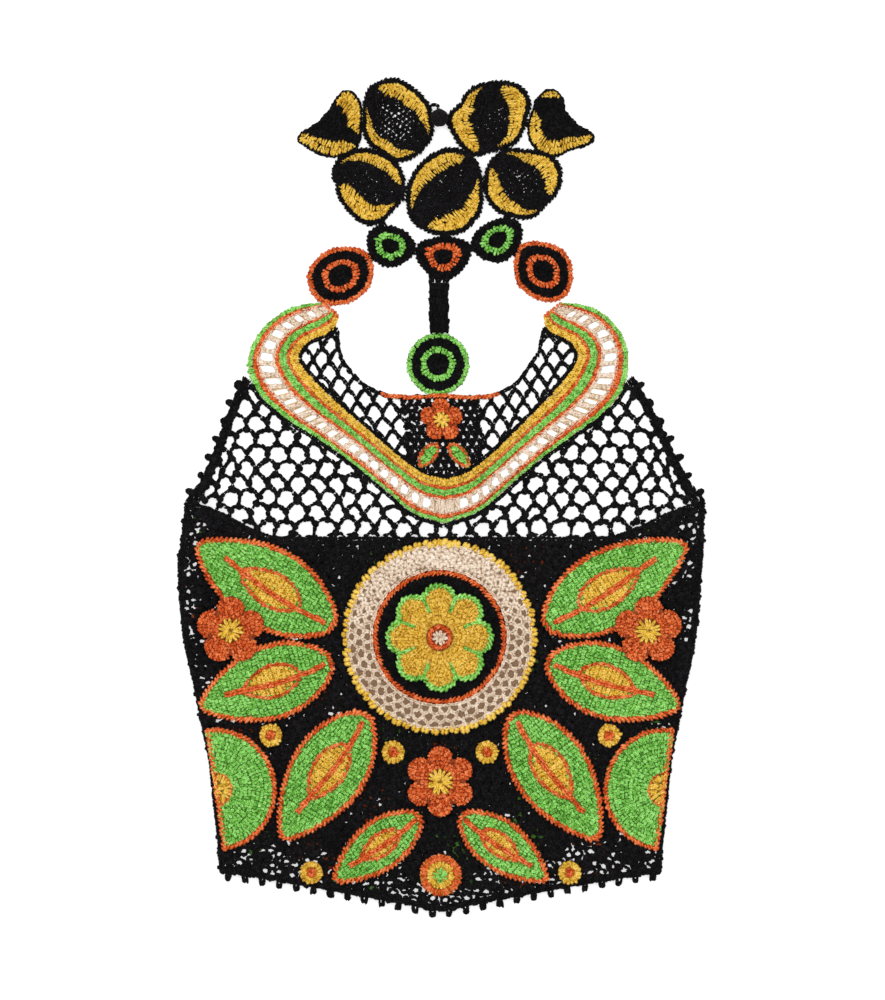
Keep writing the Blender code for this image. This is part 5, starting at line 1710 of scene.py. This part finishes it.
def band_lines(shape, start, end, inner):
    """Inner, middle and outer line of a band that narrows to both ends."""
    angle = np.linspace(start, end, ROUND_STEPS + 1)
    full = np.clip(np.minimum(angle - start, end - angle) / BAND_SOFT, 0.0, 1.0) ** BAND_POWER
    low = BAND_OUT - BAND_LEAST - (BAND_OUT - BAND_LEAST - inner) * full
    turn = np.radians(angle)
    return [shape.spot(np.column_stack([share * np.cos(turn), share * np.sin(turn)]))
            for share in (low, (low + BAND_OUT) / 2, np.full_like(low, BAND_OUT))]


for node, *sizes in FOLDED:
    shape = outlines[node] = Round(*sizes)

    def swell(px, py):
        fall = FOLDED_FALL * np.clip(shape.share(px, py), 0.0, 1.0) ** 3
        return FOLDED_THICK * (1.0 - fall) - FOLDED_SINK

    black = [along_line(shape.line(share), *link_sizes) for share, *link_sizes in FOLDED_EDGES]
    black += [row_between(shape.line(low), shape.line(high), *FOLDED_POST)
              for low, high in zip(FOLDED_ROWS, FOLDED_ROWS[1:])]
    gold = []
    for start, end, inner in BANDS[node]:
        low, middle, high = band_lines(shape, start, end, inner)
        gold.append(row_between(middle, high, *BAND_POST))
        tips = ragged(row_between(low, middle, *BAND_TIPS, BAND_REACH), CRESCENT_RAGGED)
        tips[:, 4] *= TIP_SLIM
        gold.append(tips)
    black = lay(node + "_black", chain, np.vstack(black), BLACK, swell, straight)
    gold = lay(node + "_yellow", post, np.vstack(gold), YELLOW, swell, straight)
    cut = frame_shape(node)
    middle_spot = Vector((*straight(shape.x, shape.y), 0.0))
    bmesh.ops.translate(cut, verts=cut.verts, vec=-middle_spot)
    bmesh.ops.scale(cut, verts=cut.verts, vec=FOLDED_CORE)
    bmesh.ops.translate(cut, verts=cut.verts, vec=middle_spot)
    # Painted shade: the folded petal's core is in the darker core black.
    base = dress(finished(node + "_core", cut), shade_cores[BLACK], node)
    shape.size()
print("folded petals:", len(FOLDED))

# %% Button
BALL_RADIUS, BALL_MIDDLE = 0.0066, (-0.0050, 0.2838, 0.0086)
KNOBS_DOWN, KNOBS_ROUND, KNOBS_TWIST, KNOB_HIGH = 8.0, 7.0, 4.0, 0.045
LOOP_MIDDLE, LOOP_RADIUS, LOOP_ENDS = (-0.0088, 0.2912), 3.3 * MM, (-0.5, 3.6)
LOOP_LINK = (2.6 * MM, 4.0 * MM, 2.5 * MM, 2.0 * MM, 5.2 * MM)

ball_shape = bmesh.new()
bmesh.ops.create_uvsphere(ball_shape, u_segments=28, v_segments=16, radius=BALL_RADIUS)
for vert in ball_shape.verts:
    tilt = math.acos(max(min(vert.co.z / BALL_RADIUS, 1.0), -1.0))
    turn = math.atan2(vert.co.y, vert.co.x)
    knob = math.sin(tilt * KNOBS_DOWN) * math.cos(turn * KNOBS_ROUND + tilt * KNOBS_TWIST)
    vert.co *= 1.0 + KNOB_HIGH * knob * math.sin(tilt)
ball_spot = Vector((*straight(BALL_MIDDLE[0], BALL_MIDDLE[1]), BALL_MIDDLE[2]))
bmesh.ops.translate(ball_shape, verts=ball_shape.verts, vec=ball_spot)
for face in ball_shape.faces:
    face.smooth = True
ball = dress(finished("button_ball_yarn", ball_shape), cottons[BLACK], "button_ball")
loop_line = ring(LOOP_MIDDLE, LOOP_RADIUS, 1.0, plain_edge, *LOOP_ENDS)
lay("button_loop", chain, along_line(loop_line, *LOOP_LINK), BLACK, on_table, straight)
print("the button is", round(2000 * BALL_RADIUS, 1), "mm across")

# %% [markdown]
# ## Joins
# The discs, petals and strap are sewn together where they touch.  A few stitches over each touching
# place, along the line between the two middles, are all that shows.

# %% Joins of the collar
JOIN = (6.4 * MM, 2.6 * MM, 2.4 * MM, 1.2 * MM)
JOIN_STEP = 2.1 * MM
outlines["strap_top"] = Round(*STRAP_TOP, (1.0,) * 16)
outlines["strap_foot"] = Round(*STRAP_FOOT, (1.0,) * 16)
outlines["button"] = Round(*BALL_MIDDLE[:2], (5.0,) * 16)
JOINED = (
    ("collar_disc_large_left", "collar_disc_small_left"),
    ("collar_disc_small_left", "collar_disc_center"),
    ("collar_disc_center", "collar_disc_small_right"),
    ("collar_disc_small_right", "collar_disc_large_right"),
    ("strap_top", "collar_disc_center"), ("strap_foot", "neck_disc"),
    ("collar_disc_small_left", "collar_petal_front_left"),
    ("collar_disc_center", "collar_petal_front_center"),
    ("collar_disc_small_right", "collar_petal_front_right"),
    ("collar_petal_front_left", "collar_petal_front_center"),
    ("collar_petal_front_center", "collar_petal_front_right"),
    ("collar_petal_front_left", "collar_petal_back_left"),
    ("collar_petal_front_left", "collar_petal_side_left"),
    ("collar_petal_front_right", "collar_petal_side_right"),
    ("collar_petal_front_right", "collar_petal_back_right"),
    ("collar_petal_front_center", "collar_petal_back_right"),
    ("collar_petal_back_left", "collar_petal_side_left"),
    ("collar_petal_back_right", "collar_petal_side_right"),
    ("collar_petal_back_left", "button"), ("button", "collar_petal_back_right"),
)

joins = []
for first, second in JOINED:
    a, b = outlines[first], outlines[second]
    angle = math.atan2(b.y - a.y, b.x - a.x)
    apart = math.hypot(b.x - a.x, b.y - a.y)
    at = float(a.reach(angle) + apart - b.reach(angle + math.pi)) / 2
    for step in (-1.0, 0.0, 1.0):
        joins.append((a.x + at * math.cos(angle) - step * JOIN_STEP * math.sin(angle),
                      a.y + at * math.sin(angle) + step * JOIN_STEP * math.cos(angle), angle, *JOIN))
lay("collar_joins", chain, joins, BLACK, on_table, straight)
print("joins:", len(JOINED))

# %% [markdown]
# ## Count of the pieces
# The sheets of cloth, cut or here worked to size, are the back, the ground of the front, the two nets,
# the yoke band and the neck net.  All pieces and their triangles are counted here.


total = 0
for piece in pieces.values():
    piece.data.calc_loop_triangles()
    total += len(piece.data.loop_triangles)
print("pieces:", len(pieces), "triangles:", total)
